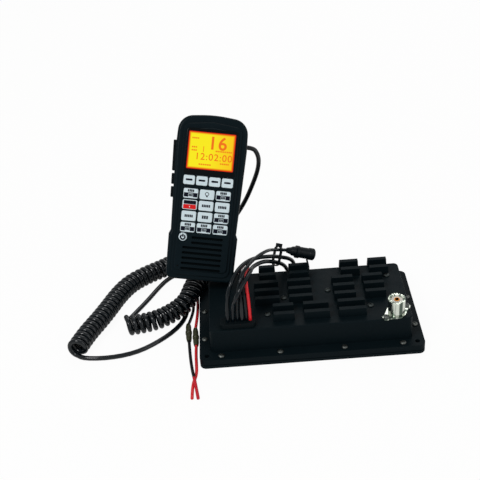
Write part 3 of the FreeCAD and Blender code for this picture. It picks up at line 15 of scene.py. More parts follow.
import bmesh
import bpy
from mathutils import Matrix, Vector
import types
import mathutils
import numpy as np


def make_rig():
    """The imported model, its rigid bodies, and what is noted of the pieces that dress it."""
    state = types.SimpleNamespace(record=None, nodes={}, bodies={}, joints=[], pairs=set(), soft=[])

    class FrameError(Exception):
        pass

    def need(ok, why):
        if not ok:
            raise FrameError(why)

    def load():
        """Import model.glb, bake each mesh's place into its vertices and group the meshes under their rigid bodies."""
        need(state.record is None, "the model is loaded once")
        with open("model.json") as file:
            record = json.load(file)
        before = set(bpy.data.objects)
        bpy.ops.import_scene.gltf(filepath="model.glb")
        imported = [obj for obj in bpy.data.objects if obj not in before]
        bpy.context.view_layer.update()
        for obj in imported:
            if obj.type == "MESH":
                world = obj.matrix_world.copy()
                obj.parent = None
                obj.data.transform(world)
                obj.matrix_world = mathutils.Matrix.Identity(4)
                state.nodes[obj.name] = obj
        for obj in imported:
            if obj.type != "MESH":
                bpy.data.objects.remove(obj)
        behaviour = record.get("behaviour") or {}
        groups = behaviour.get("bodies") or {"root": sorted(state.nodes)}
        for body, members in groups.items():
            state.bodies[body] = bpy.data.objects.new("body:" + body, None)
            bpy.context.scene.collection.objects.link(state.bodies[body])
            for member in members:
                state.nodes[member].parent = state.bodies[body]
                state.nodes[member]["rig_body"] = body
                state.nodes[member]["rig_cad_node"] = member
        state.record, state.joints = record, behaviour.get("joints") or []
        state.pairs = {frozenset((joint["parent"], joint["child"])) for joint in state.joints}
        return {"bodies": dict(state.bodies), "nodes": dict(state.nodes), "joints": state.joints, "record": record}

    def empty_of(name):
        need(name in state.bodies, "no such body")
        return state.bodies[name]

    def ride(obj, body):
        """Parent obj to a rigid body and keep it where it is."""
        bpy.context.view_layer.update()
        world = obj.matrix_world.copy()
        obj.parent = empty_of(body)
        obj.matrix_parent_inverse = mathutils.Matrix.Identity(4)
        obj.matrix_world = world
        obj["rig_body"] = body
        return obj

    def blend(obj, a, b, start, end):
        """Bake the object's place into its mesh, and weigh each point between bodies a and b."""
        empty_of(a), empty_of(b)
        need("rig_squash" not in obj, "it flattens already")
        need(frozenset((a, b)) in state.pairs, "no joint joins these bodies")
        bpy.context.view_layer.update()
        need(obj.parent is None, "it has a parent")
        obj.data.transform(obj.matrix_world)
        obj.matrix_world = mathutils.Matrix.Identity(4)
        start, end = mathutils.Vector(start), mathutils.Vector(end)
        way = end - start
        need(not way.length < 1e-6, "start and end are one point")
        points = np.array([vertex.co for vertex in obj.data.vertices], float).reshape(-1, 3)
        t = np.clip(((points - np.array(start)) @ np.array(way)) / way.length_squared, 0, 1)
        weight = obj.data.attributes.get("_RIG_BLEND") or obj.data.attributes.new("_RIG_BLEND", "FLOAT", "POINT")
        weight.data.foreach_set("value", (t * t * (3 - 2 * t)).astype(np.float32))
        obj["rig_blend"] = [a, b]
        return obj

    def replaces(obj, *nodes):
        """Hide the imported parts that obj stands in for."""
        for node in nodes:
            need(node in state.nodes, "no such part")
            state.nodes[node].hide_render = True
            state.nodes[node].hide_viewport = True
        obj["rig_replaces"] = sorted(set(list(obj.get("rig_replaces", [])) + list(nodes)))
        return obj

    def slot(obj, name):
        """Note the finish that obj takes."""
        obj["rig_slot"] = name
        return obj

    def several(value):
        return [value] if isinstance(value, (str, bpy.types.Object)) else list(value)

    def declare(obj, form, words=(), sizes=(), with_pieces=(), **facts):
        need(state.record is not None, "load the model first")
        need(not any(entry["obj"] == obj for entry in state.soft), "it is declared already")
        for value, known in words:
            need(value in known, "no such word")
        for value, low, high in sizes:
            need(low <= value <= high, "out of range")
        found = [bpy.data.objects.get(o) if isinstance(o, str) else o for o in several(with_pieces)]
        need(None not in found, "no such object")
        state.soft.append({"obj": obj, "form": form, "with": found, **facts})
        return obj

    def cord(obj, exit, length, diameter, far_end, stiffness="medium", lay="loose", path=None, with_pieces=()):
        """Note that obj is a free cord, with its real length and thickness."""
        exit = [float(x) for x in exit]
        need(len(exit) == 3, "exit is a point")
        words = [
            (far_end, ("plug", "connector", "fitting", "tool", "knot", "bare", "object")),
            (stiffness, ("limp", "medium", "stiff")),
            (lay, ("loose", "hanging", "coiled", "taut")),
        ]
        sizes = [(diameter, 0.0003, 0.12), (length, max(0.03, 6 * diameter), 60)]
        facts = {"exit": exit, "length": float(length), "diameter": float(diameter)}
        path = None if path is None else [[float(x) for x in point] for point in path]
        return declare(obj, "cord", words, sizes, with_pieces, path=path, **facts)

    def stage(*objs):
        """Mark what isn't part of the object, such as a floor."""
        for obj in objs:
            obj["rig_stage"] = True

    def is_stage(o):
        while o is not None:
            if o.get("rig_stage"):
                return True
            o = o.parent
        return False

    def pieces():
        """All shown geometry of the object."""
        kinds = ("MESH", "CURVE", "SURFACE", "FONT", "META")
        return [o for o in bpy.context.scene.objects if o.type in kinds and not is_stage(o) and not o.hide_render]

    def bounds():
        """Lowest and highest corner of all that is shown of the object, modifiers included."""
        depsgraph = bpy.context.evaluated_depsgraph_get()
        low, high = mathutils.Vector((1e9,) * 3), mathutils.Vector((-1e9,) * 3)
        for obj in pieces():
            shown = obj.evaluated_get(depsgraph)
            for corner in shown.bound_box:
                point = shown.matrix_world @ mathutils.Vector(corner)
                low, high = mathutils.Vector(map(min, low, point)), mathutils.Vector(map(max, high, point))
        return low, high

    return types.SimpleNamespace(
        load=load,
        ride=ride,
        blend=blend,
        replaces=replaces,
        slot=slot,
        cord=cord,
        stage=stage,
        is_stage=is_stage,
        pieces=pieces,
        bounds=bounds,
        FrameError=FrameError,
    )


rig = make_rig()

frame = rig.load()
CAD_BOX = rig.bounds()

LOG = logging.getLogger("radio")
MM = 0.001
WHITE = (1.0, 1.0, 1.0, 1.0)
NOISE_RANGE = (0.3, 0.7)

Pair = tuple[float, float]
Point = tuple[float, float, float]
Route = tuple[Point, ...]
Tree = bpy.types.NodeTree
Socket = bpy.types.NodeSocket
Object = bpy.types.Object
Material = bpy.types.Material
BMesh = bmesh.types.BMesh


class Body(str, Enum):
    """The two bodies that carry the pieces; a key's cap is a body of its own."""

    TRANSCEIVER = "transceiver"
    HANDSET = "handset"


class Legend(Enum):
    """What is printed on a key's cap."""

    DASH = "dash"
    LAMP = "lamp"
    WORD = "word"
    BOLD_WORD = "bold word"
    WORD_OVER_BLOCK = "word over a dark block"
    TWO_BANDS = "dark band over a red band"
    POWER = "power"


# ---- material nodes ----


def linear(code: str) -> tuple[float, float, float, float]:
    """Turns an sRGB hex colour into linear light.

    Args:
        code: the colour, such as "#14171A".

    Returns:
        Red, green, blue and an alpha of one.
    """
    shares = (int(code[place:place + 2], 16) / 255 for place in (1, 3, 5))
    light = [share / 12.92 if share <= 0.04045 else ((share + 0.055) / 1.055) ** 2.4
             for share in shares]
    return (*light, 1.0)


def add_node(tree: Tree, kind: str, inputs: dict[Any, Any] | None = None,
             **settings: Any) -> bpy.types.Node:
    """Adds a node to a material.

    Args:
        tree: the material's node tree.
        kind: the node's type.
        inputs: for each input's name or number, a value or the output that feeds it.
        **settings: the node's own settings.

    Returns:
        The node.
    """
    node = tree.nodes.new(kind)
    for name, value in settings.items():
        setattr(node, name, value)
    for name, value in (inputs or {}).items():
        if isinstance(value, Socket):
            tree.links.new(value, node.inputs[name])
        else:
            node.inputs[name].default_value = value
    return node


def noise(tree: Tree, place: Socket, size: float, detail: float = 2.0,
          roughness: float = 0.5) -> Socket:
    """Noise whose features are about this many millimetres across."""
    return add_node(tree, "ShaderNodeTexNoise", {
        "Vector": place, "Scale": 1 / (size * MM), "Detail": detail,
        "Roughness": roughness}).outputs["Fac"]


def remap(tree: Tree, value: Socket, source: Pair, target: Pair = (0.0, 1.0)) -> Socket:
    """A value taken from one range to another, and clamped there."""
    return add_node(tree, "ShaderNodeMapRange", {
        "Value": value, "From Min": source[0], "From Max": source[1],
        "To Min": target[0], "To Max": target[1]}).outputs["Result"]


def mix(tree: Tree, share: Socket, first: Any, second: Any) -> Socket:
    """The second colour's share over the first; each is a colour or an output."""
    return add_node(tree, "ShaderNodeMix", {0: share, 6: first, 7: second},
                    data_type="RGBA").outputs[2]


def calculate(tree: Tree, operation: str, first: Socket, second: Any) -> Socket:
    """The result of a Math node on an output and a number or another output."""
    return add_node(tree, "ShaderNodeMath", {0: first, 1: second}, operation=operation).outputs[0]


def stretch(tree: Tree, place: Socket, scale: Point) -> Socket:
    """Places scaled along each axis."""
    return add_node(tree, "ShaderNodeMapping", {"Vector": place, "Scale": scale},
                    vector_type="POINT").outputs["Vector"]


def coordinate(tree: Tree, vector: Socket, axis: str) -> Socket:
    """One coordinate of a vector."""
    return add_node(tree, "ShaderNodeSeparateXYZ", {"Vector": vector}).outputs[axis]


def new_material(name: str) -> Material:
    """Makes a material with an empty node tree.

    Args:
        name: the material's name.

    Returns:
        The material.
    """
    material = bpy.data.materials.new(name)
    material.use_nodes = True
    material.node_tree.nodes.clear()
    return material


def show(tree: Tree, shader: bpy.types.Node) -> None:
    """Sends a shader to the material's surface."""
    add_node(tree, "ShaderNodeOutputMaterial", {"Surface": shader.outputs[0]})


# ---- finishes ----


@dataclass(frozen=True)
class Finish:
    """A surface finish: colour that drifts in patches, a fine grain, and a gloss range.

    Attributes:
        drift: the near tone that patches of the colour drift to.
        patch: size of the patches, in millimetres.
        grain: size of the grain, in millimetres.
        relief: height of the grain, in millimetres.
        gloss: lowest and highest roughness.
        specular: specular level, which a metal doesn't use.
        metallic: one for a metal.
    """

    name: str
    colour: str
    drift: str
    patch: float
    grain: float
    relief: float
    gloss: Pair
    specular: float = 0.5
    metallic: float = 0.0

    def tone(self, tree: Tree, patch: Socket, place: Socket) -> Socket:
        """The base colour, which drifts between two near tones as the patches' noise does."""
        return mix(tree, patch, linear(self.colour), linear(self.drift))

    def height(self, tree: Tree, place: Socket) -> Socket:
        """The grain's height, from 0 to 1, at places on the piece."""
        return noise(tree, place, self.grain, detail=3.0, roughness=0.55)

    def build(self) -> Material:
        """Makes the material.

        Returns:
            The material, ready for a slot.
        """
        material = new_material(self.name)
        tree = material.node_tree
        place = add_node(tree, "ShaderNodeTexCoord").outputs["Object"]
        patch = noise(tree, place, self.patch, detail=4.0, roughness=0.6)
        bump = add_node(tree, "ShaderNodeBump", {
            "Distance": self.relief * MM, "Height": self.height(tree, place)})
        shader = add_node(tree, "ShaderNodeBsdfPrincipled", {
            "Base Color": self.tone(tree, patch, place), "Normal": bump.outputs["Normal"],
            "Roughness": remap(tree, patch, NOISE_RANGE, self.gloss), "Metallic": self.metallic})
        if not self.metallic:
            shader.inputs["Specular IOR Level"].default_value = self.specular
        show(tree, shader)
        return material


@dataclass(frozen=True)
class Sleeved(Finish):
    """An insulated lead whose black sleeve ends at a place along Y, with the red core beyond."""

    core: str = "#C8202E"
    sleeve_end: float = -0.074

    def tone(self, tree: Tree, patch: Socket, place: Socket) -> Socket:
        """Black up to the sleeve's end and red beyond it, with a millimetre between."""
        share = remap(tree, coordinate(tree, place, "Y"), (self.sleeve_end, self.sleeve_end - MM))
        return mix(tree, share, super().tone(tree, patch, place), linear(self.core))


@dataclass(frozen=True)
class Metal(Finish):
    """A bare or plated metal."""

    metallic: float = 1.0


@dataclass(frozen=True)
class Brushed(Metal):
    """A metal with fine marks of turning round Z, and long reflections painted along it in its colour."""

    mark: float = 0.5
    # Painted reflections: the size, the edges and the squash of the bright bands in the colour.
    reflection_band: float = 3.2
    reflection_band_edges: Pair = (0.42, 0.58)
    reflection_band_squash: Point = (1.0, 1.0, 0.06)
    mark_squash: Point = (0.05, 0.05, 1.0)

    def tone(self, tree: Tree, patch: Socket, place: Socket) -> Socket:
        """Painted reflections: bands along Z in the colour, as a round bright part would show the dark things round
        it.
        """
        band = noise(tree, stretch(tree, place, self.reflection_band_squash), self.reflection_band, detail=1.0)
        return super().tone(tree, remap(tree, band, self.reflection_band_edges), place)

    def height(self, tree: Tree, place: Socket) -> Socket:
        """Rings across Z, drawn half a millimetre apart because real ones are too fine."""
        return noise(tree, stretch(tree, place, self.mark_squash), self.mark)


@dataclass(frozen=True)
class Lit:
    """A part of a display that gives its own light."""

    name: str
    colour: str
    drift: str
    strength: float
    glass: str = "#2A1C08"
    patch: float = 3.0
    roughness: float = 0.3
    specular: float = 0.08

    def glow(self, tree: Tree) -> Socket:
        """Its light, uneven by a few hundredths as a driven cell is."""
        place = add_node(tree, "ShaderNodeTexCoord").outputs["Object"]
        return mix(tree, noise(tree, place, self.patch), linear(self.colour), linear(self.drift))

    def build(self) -> Material:
        """Makes the material: a dark glass with the light in it.

        Returns:
            The material.
        """
        material = new_material(self.name)
        tree = material.node_tree
        show(tree, add_node(tree, "ShaderNodeBsdfPrincipled", {
            "Base Color": linear(self.glass), "Roughness": self.roughness,
            "Specular IOR Level": self.specular, "Emission Color": self.glow(tree),
            "Emission Strength": self.strength}))
        return material


@dataclass(frozen=True)
class Backlit(Lit):
    """A transflective panel, lit from behind, warmer to its right, with painted shade in red at its rim."""

    rim_shade: str = "#E4280C"
    warms: Pair = (0.45, 1.0)
    rim_shade_fades: Pair = (0.020, 0.070)
    aspect: float = 1.25

    def glow(self, tree: Tree) -> Socket:
        """Its light, graded by the panel's UV map.

        Args:
            tree: the material's node tree.

        Returns:
            The colour of the light.
        """
        place = add_node(tree, "ShaderNodeTexCoord").outputs["UV"]
        warm = remap(tree, coordinate(tree, place, "X"), self.warms)
        light = mix(tree, warm, linear(self.colour), linear(self.drift))
        # The distance to the nearest side, from both coordinates folded at the middle.
        folds = []
        for axis, scale in (("X", self.aspect), ("Y", 1.0)):
            fold = calculate(tree, "PINGPONG", coordinate(tree, place, axis), 0.5)
            folds.append(calculate(tree, "MULTIPLY", fold, scale))
        # Painted shade: the glow turns red towards the sides, as under the window's border.
        edge = remap(tree, calculate(tree, "MINIMUM", *folds), self.rim_shade_fades, (1.0, 0.0))
        return mix(tree, edge, light, linear(self.rim_shade))


class Palette:
    """Every finish by its short name, each made into a material once."""

    finishes: dict[str, Any] = {
        # Powder coat on steel sheet: satin, with a fine orange peel.
        "plate_paint": Finish(
            "powder_coated_steel", "#0C171B", "#10191D", 22, 1.1, 0.05, (0.42, 0.58), 0.05),
        # Powder coat on a die casting: a softer and deeper peel.
        "cast_paint": Finish(
            "powder_coated_die_casting", "#091317", "#0D171B", 16, 0.9, 0.06, (0.42, 0.56), 0.05),
        # Moulded PC/ABS, spark-eroded texture; satin with a faint cold sheen.
        "case_plastic": Finish(
            "textured_pc_abs", "#0A151A", "#0E1A1F", 20, 0.7, 0.035, (0.28, 0.38), 0.055),
        # Smooth moulded nylon and ABS parts.
        "smooth_plastic": Finish(
            "moulded_nylon", "#070E12", "#0B1418", 9, 0.8, 0.015, (0.28, 0.38), 0.14),
        # Vulcanised rubber: matt and very slightly dusty.
        "rubber": Finish(
            "vulcanised_rubber", "#080F12", "#0C1417", 8, 0.6, 0.03, (0.5, 0.66), 0.06),
        # PVC cable jacket: extruded, so smooth and rather glossy.
        "jacket": Finish(
            "black_pvc_jacket", "#030B10", "#071319", 12, 1.4, 0.012, (0.12, 0.20), 0.27),
        # Polyurethane jacket of the curly cord, which is glossier.
        "coil_jacket": Finish(
            "black_polyurethane_jacket", "#02080D", "#051016", 9, 1.2, 0.010, (0.10, 0.17), 0.42),
        "sleeved_jacket": Sleeved(
            "black_sleeve_on_red_core", "#070A0C", "#0D1013", 9, 1.2, 0.010, (0.34, 0.44), 0.2),
        # PVC insulation of single conductors.
        **{f"{hue}_jacket": Finish(f"{hue}_pvc_insulation", *tones, 9, 1.2, 0.01, (0.32, 0.42))
           for hue, *tones in (
               ("red", "#D3131D", "#E8202A"), ("blue", "#1E4C9A", "#2A5CAE"),
               ("white", "#D8D8D2", "#E4E4DE"), ("yellow", "#D9B41E", "#E2C034"))},
        # Stranded copper under tin.
        "tinned": Metal("tinned_copper", "#C6C4BE", "#B4B1A8", 3, 0.4, 0.05, (0.25, 0.4)),
        # Moulded fuse holders: olive polypropylene.
        "fuse_plastic": Finish(
            "olive_polypropylene", "#2A2E16", "#383B1E", 7, 0.8, 0.02, (0.38, 0.5)),
        # Nickel plate over turned brass, with its reflections painted along it in bands from dark to bright.
        "nickel": Brushed(
            "nickel_plated_brass", "#5A665D", "#E2E8DC", 4, 0.5, 0.006, (0.14, 0.24)),
        # Gold plate on the contact, with faint painted reflections in bands along it.
        "gold": Brushed("gold_plated_contact", "#C98A3C", "#B9722E", 3, 0.5, 0.004, (0.22, 0.34)),
        # Zinc plate with a clear passivate, dulled by handling.
        "zinc": Metal("zinc_plated_steel", "#7C807C", "#5F6361", 2.5, 0.5, 0.01, (0.28, 0.5)),
        # Zinc plate in a darker tone, for the screws on the deck.
        "dark_zinc": Metal(
            "dark_toned_zinc_plate", "#33393A", "#555B5A", 2.5, 0.5, 0.01, (0.35, 0.55)),
        "ptfe": Finish("white_ptfe", "#D9D6CC", "#CBC7BB", 4, 0.6, 0.01, (0.35, 0.5)),
        # Silicone rubber key caps with a hard lacquer, and what is printed on them.
        "key_cap": Finish("lacquered_silicone", "#D2E3EA", "#DAE9EE", 6, 0.8, 0.012, (0.34, 0.46)),
        "key_ink": Finish(
            "dark_screen_print", "#050818", "#0A0E20", 4, 0.8, 0.006, (0.40, 0.52), 0.1),
        "red_ink": Finish(
            "red_screen_print", "#D80C10", "#DE1A1C", 4, 0.8, 0.006, (0.36, 0.48), 0.2),
        # Acrylic window with its border printed from behind.
        "window": Finish(
            "printed_acrylic", "#04080A", "#070C0F", 14, 1.5, 0.004, (0.12, 0.2), 0.10),
        "cloth": Finish("speaker_cloth", "#04090B", "#081013", 3, 0.5, 0.12, (0.7, 0.9), 0.04),
        # Circuit boards and their parts, which the cases hide.
        "board": Finish("solder_resist", "#0E4A2C", "#125636", 9, 1.0, 0.02, (0.3, 0.42)),
        "component": Finish("moulded_epoxy", "#15171A", "#1E2124", 5, 0.7, 0.02, (0.5, 0.65)),
        "tin_shield": Metal("tinplate", "#B9BCBC", "#A5A9AA", 7, 0.8, 0.01, (0.22, 0.36)),
        "display_frame": Finish("display_bezel", "#1A1C1E", "#222527", 7, 0.8, 0.01, (0.3, 0.45)),
        "lcd": Backlit("backlit_lcd", "#FFF01E", "#FFC91A", 0.92),
        "lcd_ink": Lit("lcd_segments", "#F2741C", "#FF7A1C", 0.9, "#2A1008"),
        "lcd_faint": Lit("lcd_small_print", "#FFA21C", "#FF7A1C", 0.85, "#2A1008"),
    }
    made: dict[str, Material] = {}

    @classmethod
    def get(cls, name: str) -> Material:
        """Finds a material, and builds it when it is first asked for.

        Args:
            name: the finish's short name.

        Returns:
            The material.
        """
        if name not in cls.made:
            cls.made[name] = cls.finishes[name].build()
        return cls.made[name]


# ---- meshes ----


def add_object(name: str, data: bpy.types.ID | None) -> Object:
    """Makes an object at the origin and links it to the scene.

    Args:
        name: the object's name.
        data: its mesh, curve, lamp or camera.

    Returns:
        The object.
    """
    made = bpy.data.objects.new(name, data)
    bpy.context.scene.collection.objects.link(made)
    return made


def new_object(name: str, mesh: BMesh, finishes: Sequence[str] = ()) -> Object:
    """Turns a bmesh into a linked object with its materials.

    Args:
        name: the piece's name.
        mesh: the bmesh, which is freed.
        finishes: short names of its materials, in slot order.

    Returns:
        The object, at the origin.
    """
    data = bpy.data.meshes.new(name)
    mesh.to_mesh(data)
    mesh.free()
    for finish in finishes:
        data.materials.append(Palette.get(finish))
    return add_object(name, data)


def finish_piece(piece: Object, body: str, slot: str, nodes: Sequence[str] = ()) -> None:
    """Puts a finished piece on its body, names its slot and hides the nodes it stands for.

    Args:
        piece: the piece, at the origin.
        body: the name of its body.
        slot: its material slot.
        nodes: the model's nodes that it replaces.
    """
    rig.ride(piece, body)
    if nodes:
        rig.replaces(piece, *nodes)
    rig.slot(piece, slot)
    LOG.info("%s rides on %s", piece.name, body)


def smooth(mesh: BMesh, angle: float = 35.0) -> None:
    """Shades every face smooth and keeps the sharp edges.

    Args:
        mesh: the bmesh.
        angle: the angle in degrees above which an edge is sharp.
    """
    for face in mesh.faces:
        face.smooth = True
    for edge in mesh.edges:
        edge.smooth = not (edge.is_manifold and edge.calc_face_angle(0.0) > math.radians(angle))


def rounded_sheet(width: float, height: float, radius: float, segments: int) -> BMesh:
    """A flat face in XY with rounded corners, in a bmesh of its own.

    Args:
        width: size along X.
        height: size along Y.
        radius: corner radius, or nought.
        segments: facets in each corner.

    Returns:
        The bmesh.
    """
    sheet = bmesh.new()
    bmesh.ops.create_grid(sheet, x_segments=1, y_segments=1, size=0.5)
    bmesh.ops.scale(sheet, vec=(width, height, 1.0), verts=sheet.verts[:])
    if radius > 0:
        bmesh.ops.bevel(sheet, geom=sheet.verts[:], offset=radius, offset_type="OFFSET",
                        segments=segments, profile=0.5, affect="VERTICES", material=-1)
    return sheet


def merge(mesh: BMesh, other: BMesh, place: Matrix, material: int = 0) -> None:
    """Adds another bmesh at a place, all in one material slot, and frees it.

    Args:
        mesh: the bmesh to add to.
        other: the bmesh to add.
        place: where it goes.
        material: the material slot.
    """
    bmesh.ops.transform(other, matrix=place, verts=other.verts[:])
    for face in other.faces:
        face.material_index = material
    data = bpy.data.meshes.new("merged")
    other.to_mesh(data)
    other.free()
    mesh.from_mesh(data)
    bpy.data.meshes.remove(data)


def thicken(mesh: BMesh, offset: Point) -> None:
    """Draws a flat bmesh out into a closed slab.

    Blender adds the walls in an order that changes from run to run, so they are sorted.

    Args:
        mesh: the bmesh.
        offset: how far, and which way.
    """
    grown = bmesh.ops.extrude_face_region(mesh, geom=mesh.faces[:], use_keep_orig=True)
    moved = [item for item in grown["geom"] if isinstance(item, bmesh.types.BMVert)]
    bmesh.ops.translate(mesh, vec=offset, verts=moved)
    bmesh.ops.recalc_face_normals(mesh, faces=mesh.faces[:])
    mesh.verts.index_update()
    for parts in (mesh.edges, mesh.faces):
        ordered = sorted(parts, key=lambda part: sorted(vert.index for vert in part.verts))
        ranks = {part: rank for rank, part in enumerate(ordered)}
        parts.sort(key=ranks.get)


def add_plate(mesh: BMesh, width: float, height: float, radius: float, thick: float,
              place: Matrix, material: int = 0, segments: int = 4) -> None:
    """Adds a round-cornered plate, drawn in XY with its back at z = 0.

    Args:
        mesh: the bmesh to add to.
        width: size along X.
        height: size along Y.
        radius: corner radius.
        thick: size along Z.
        place: where the plate goes.
        material: its material slot.
        segments: facets in each corner.
    """
    plate = rounded_sheet(width, height, radius, segments)
    thicken(plate, (0.0, 0.0, thick))
    merge(mesh, plate, place, material)


def nurbs(name: str, route: Route, diameter: float, finish: str, rings: int = 5) -> Object:
    """A round cord whose smooth centre line has the route's points as its control points.

    Args:
        name: the piece's name.
        route: control points.
        diameter: the cord's diameter.
        finish: short name of its material.
        rings: bevel resolution, a quarter of the facets round the cord.

    Returns:
        The curve object.
    """
    curve = bpy.data.curves.new(name, "CURVE")
    curve.dimensions = "3D"
    spline = curve.splines.new("NURBS")
    spline.points.add(len(route) - 1)
    for point, place in zip(spline.points, route):
        point.co = (*place, 1.0)
    spline.order_u = 3
    spline.use_endpoint_u = True
    spline.resolution_u = 10
    curve.bevel_depth = diameter / 2
    curve.bevel_resolution = rings
    curve.use_fill_caps = diameter > 0
    if finish:
        curve.materials.append(Palette.get(finish))
    return add_object(name, curve)


def curve_mesh(curve: Object) -> bpy.types.Mesh:
    """Turns a curve or text object into a mesh.

    Args:
        curve: the object, which is removed.

    Returns:
        The mesh.
    """
    bpy.context.view_layer.update()
    data = bpy.data.meshes.new_from_object(curve)
    bpy.data.objects.remove(curve)
    return data


def centre_line(route: Route) -> list[Vector]:
    """Reads points from the smooth line of a route.

    Args:
        route: control points.

    Returns:
        The points.
    """
    data = curve_mesh(nurbs("centre_line", route, 0.0, ""))
    places = [vert.co.copy() for vert in data.vertices]
    bpy.data.meshes.remove(data)
    return places


# ---- camera, light and floor ----


@dataclass
class Studio:
    """A pale floor, soft lamps and the camera.

    Gloss sees a share of the white world and floor, as if dark flags stood round the object.
    """

    lens: float = 72.295
    sensor: float = 36.0
    place: Point = (-0.05283, -0.73457, 0.60452)
    turn: Point = (55.571, 3.736, -2.031)
    floor_half: float = 6.0
    floor_white: float = 0.95
    floor_colour: str = "#F4F4F2"
    ambient: float = 0.38
    gloss_share: float = 0.22
    lamps: tuple[tuple[str, Point, float, float], ...] = (
        ("key", (-0.75, -0.70, 1.25), 0.55, 9.0),
        ("fill", (1.15, -0.75, 0.85), 1.2, 4.0),
        ("back", (0.25, 1.10, 1.10), 1.2, 5.0),
    )
    target: Point = (-0.05, 0.0, 0.05)

    def camera(self) -> None:
        """Makes the camera and gives it to the scene."""
        data = bpy.data.cameras.new("camera")
        data.lens = self.lens
        data.sensor_width = self.sensor
        camera = add_object("camera", data)
        camera.location = self.place
        camera.rotation_euler = [math.radians(angle) for angle in self.turn]
        bpy.context.scene.camera = camera

    def light(self) -> None:
        """Makes the lamps and the world's plain light."""
        for name, place, size, power in self.lamps:
            data = bpy.data.lights.new(name, "AREA")
            data.shape = "DISK"
            data.size = size
            data.energy = power
            lamp = add_object(name, data)
            lamp.location = place
            aim = Vector(self.target) - Vector(place)
            lamp.rotation_euler = aim.to_track_quat("-Z", "Y").to_euler()
        world = bpy.data.worlds.new("studio")
        bpy.context.scene.world = world
        world.use_nodes = True
        tree = world.node_tree
        tree.nodes.clear()
        strength = remap(tree, self.seen(tree), (0.0, 1.0), (self.ambient, 1.0))
        back = add_node(tree, "ShaderNodeBackground", {"Color": WHITE, "Strength": strength})
        add_node(tree, "ShaderNodeOutputWorld", {"Surface": back.outputs["Background"]})

    def seen(self, tree: Tree) -> Socket:
        """Tells what is seen of the surroundings from the light that they give.

        Args:
            tree: a node tree.

        Returns:
            One for rays from the camera or through glass, a share for gloss, nought for others.
        """
        path = add_node(tree, "ShaderNodeLightPath")
        gloss = calculate(tree, "MULTIPLY", path.outputs["Is Glossy Ray"], self.gloss_share)
        most = calculate(tree, "MAXIMUM", path.outputs["Is Camera Ray"], gloss)
        return calculate(tree, "MAXIMUM", most, path.outputs["Is Transmission Ray"])

    def floor(self) -> None:
        """Makes the floor, white where it is seen and with the object's faint shadow."""
        mesh = bmesh.new()
        bmesh.ops.create_grid(mesh, x_segments=1, y_segments=1, size=self.floor_half)
        floor = new_object("floor", mesh)
        material = new_material("matt_paper")
        tree = material.node_tree
        share = calculate(tree, "MULTIPLY", self.seen(tree), self.floor_white)
        paper = add_node(tree, "ShaderNodeBsdfDiffuse", {"Color": linear(self.floor_colour)})
        white = add_node(tree, "ShaderNodeEmission", {"Color": WHITE, "Strength": 1.0})
        show(tree, add_node(tree, "ShaderNodeMixShader",
                            {0: share, 1: paper.outputs[0], 2: white.outputs[0]}))
        floor.data.materials.append(material)
        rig.stage(floor)

    def build(self) -> None:
        """Makes everything round the object."""
        self.camera()
        self.light()
        self.floor()
        bpy.context.scene.view_settings.view_transform = "Standard"


# ---- cables ----


@dataclass
class Cable:
    """A free cable: its route, its real length and what is on its far end."""

    name: str
    route: Route
    diameter: float
    length: float
    finish: str = "jacket"
    slot: str = "black_cable"
    far_end: str = "bare"
    stiffness: str = "medium"
    pieces: tuple[str, ...] = ()

    def build(self) -> None:
        cord = nurbs(f"{self.name}_cord", self.route, self.diameter, self.finish)
        finish_piece(cord, Body.TRANSCEIVER.value, self.slot, (self.name,))
        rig.cord(cord, exit=self.route[0], length=self.length, diameter=self.diameter,
                far_end=self.far_end, stiffness=self.stiffness, lay="loose",
                with_pieces=self.pieces)


@dataclass
class Conductors:
    """Stripped conductors that come out of a jacket's end, each with a tinned tip.

    They start a little inside the jacket, lie side by side on the level, and splay.
    """

    name: str
    end: Point
    heading: Point
    colours: tuple[str, ...]
    reach: float = 0.012
    bare: float = 0.004
    inside: float = 0.002
    width: float = 0.0013
    strands: float = 0.62
    spread: float = 0.0016
    splay: float = 0.12
    facets: int = 14

    def build(self) -> None:
        """Makes the conductors as one mesh of round rods."""
        mesh = bmesh.new()
        turn = Vector(self.heading).normalized().to_track_quat("Z", "Y").to_matrix().to_4x4()
        count = len(self.colours)
        tip = self.reach - self.bare
        for number in range(count):
            aside = number - (count - 1) / 2
            base = (Matrix.Translation(self.end) @ turn
                    @ Matrix.Translation((self.spread * aside, 0.0, 0.0))
                    @ Matrix.Rotation(self.splay * aside, 4, "Y"))
            rods = ((number, -self.inside, tip, self.width),
                    (count, tip, self.reach, self.width * self.strands))
            for slot, start, stop, width in rods:
                verts = bmesh.ops.create_cone(
                    mesh, cap_ends=True, segments=self.facets, radius1=width / 2,
                    radius2=width / 2, depth=stop - start)["verts"]
                place = base @ Matrix.Translation((0.0, 0.0, (start + stop) / 2))
                bmesh.ops.transform(mesh, matrix=place, verts=verts)
                for face in {face for vert in verts for face in vert.link_faces}:
                    face.material_index = slot
        smooth(mesh)
        piece = new_object(self.name, mesh, (*self.colours, "tinned"))
        finish_piece(piece, Body.TRANSCEIVER.value, "black_cable")


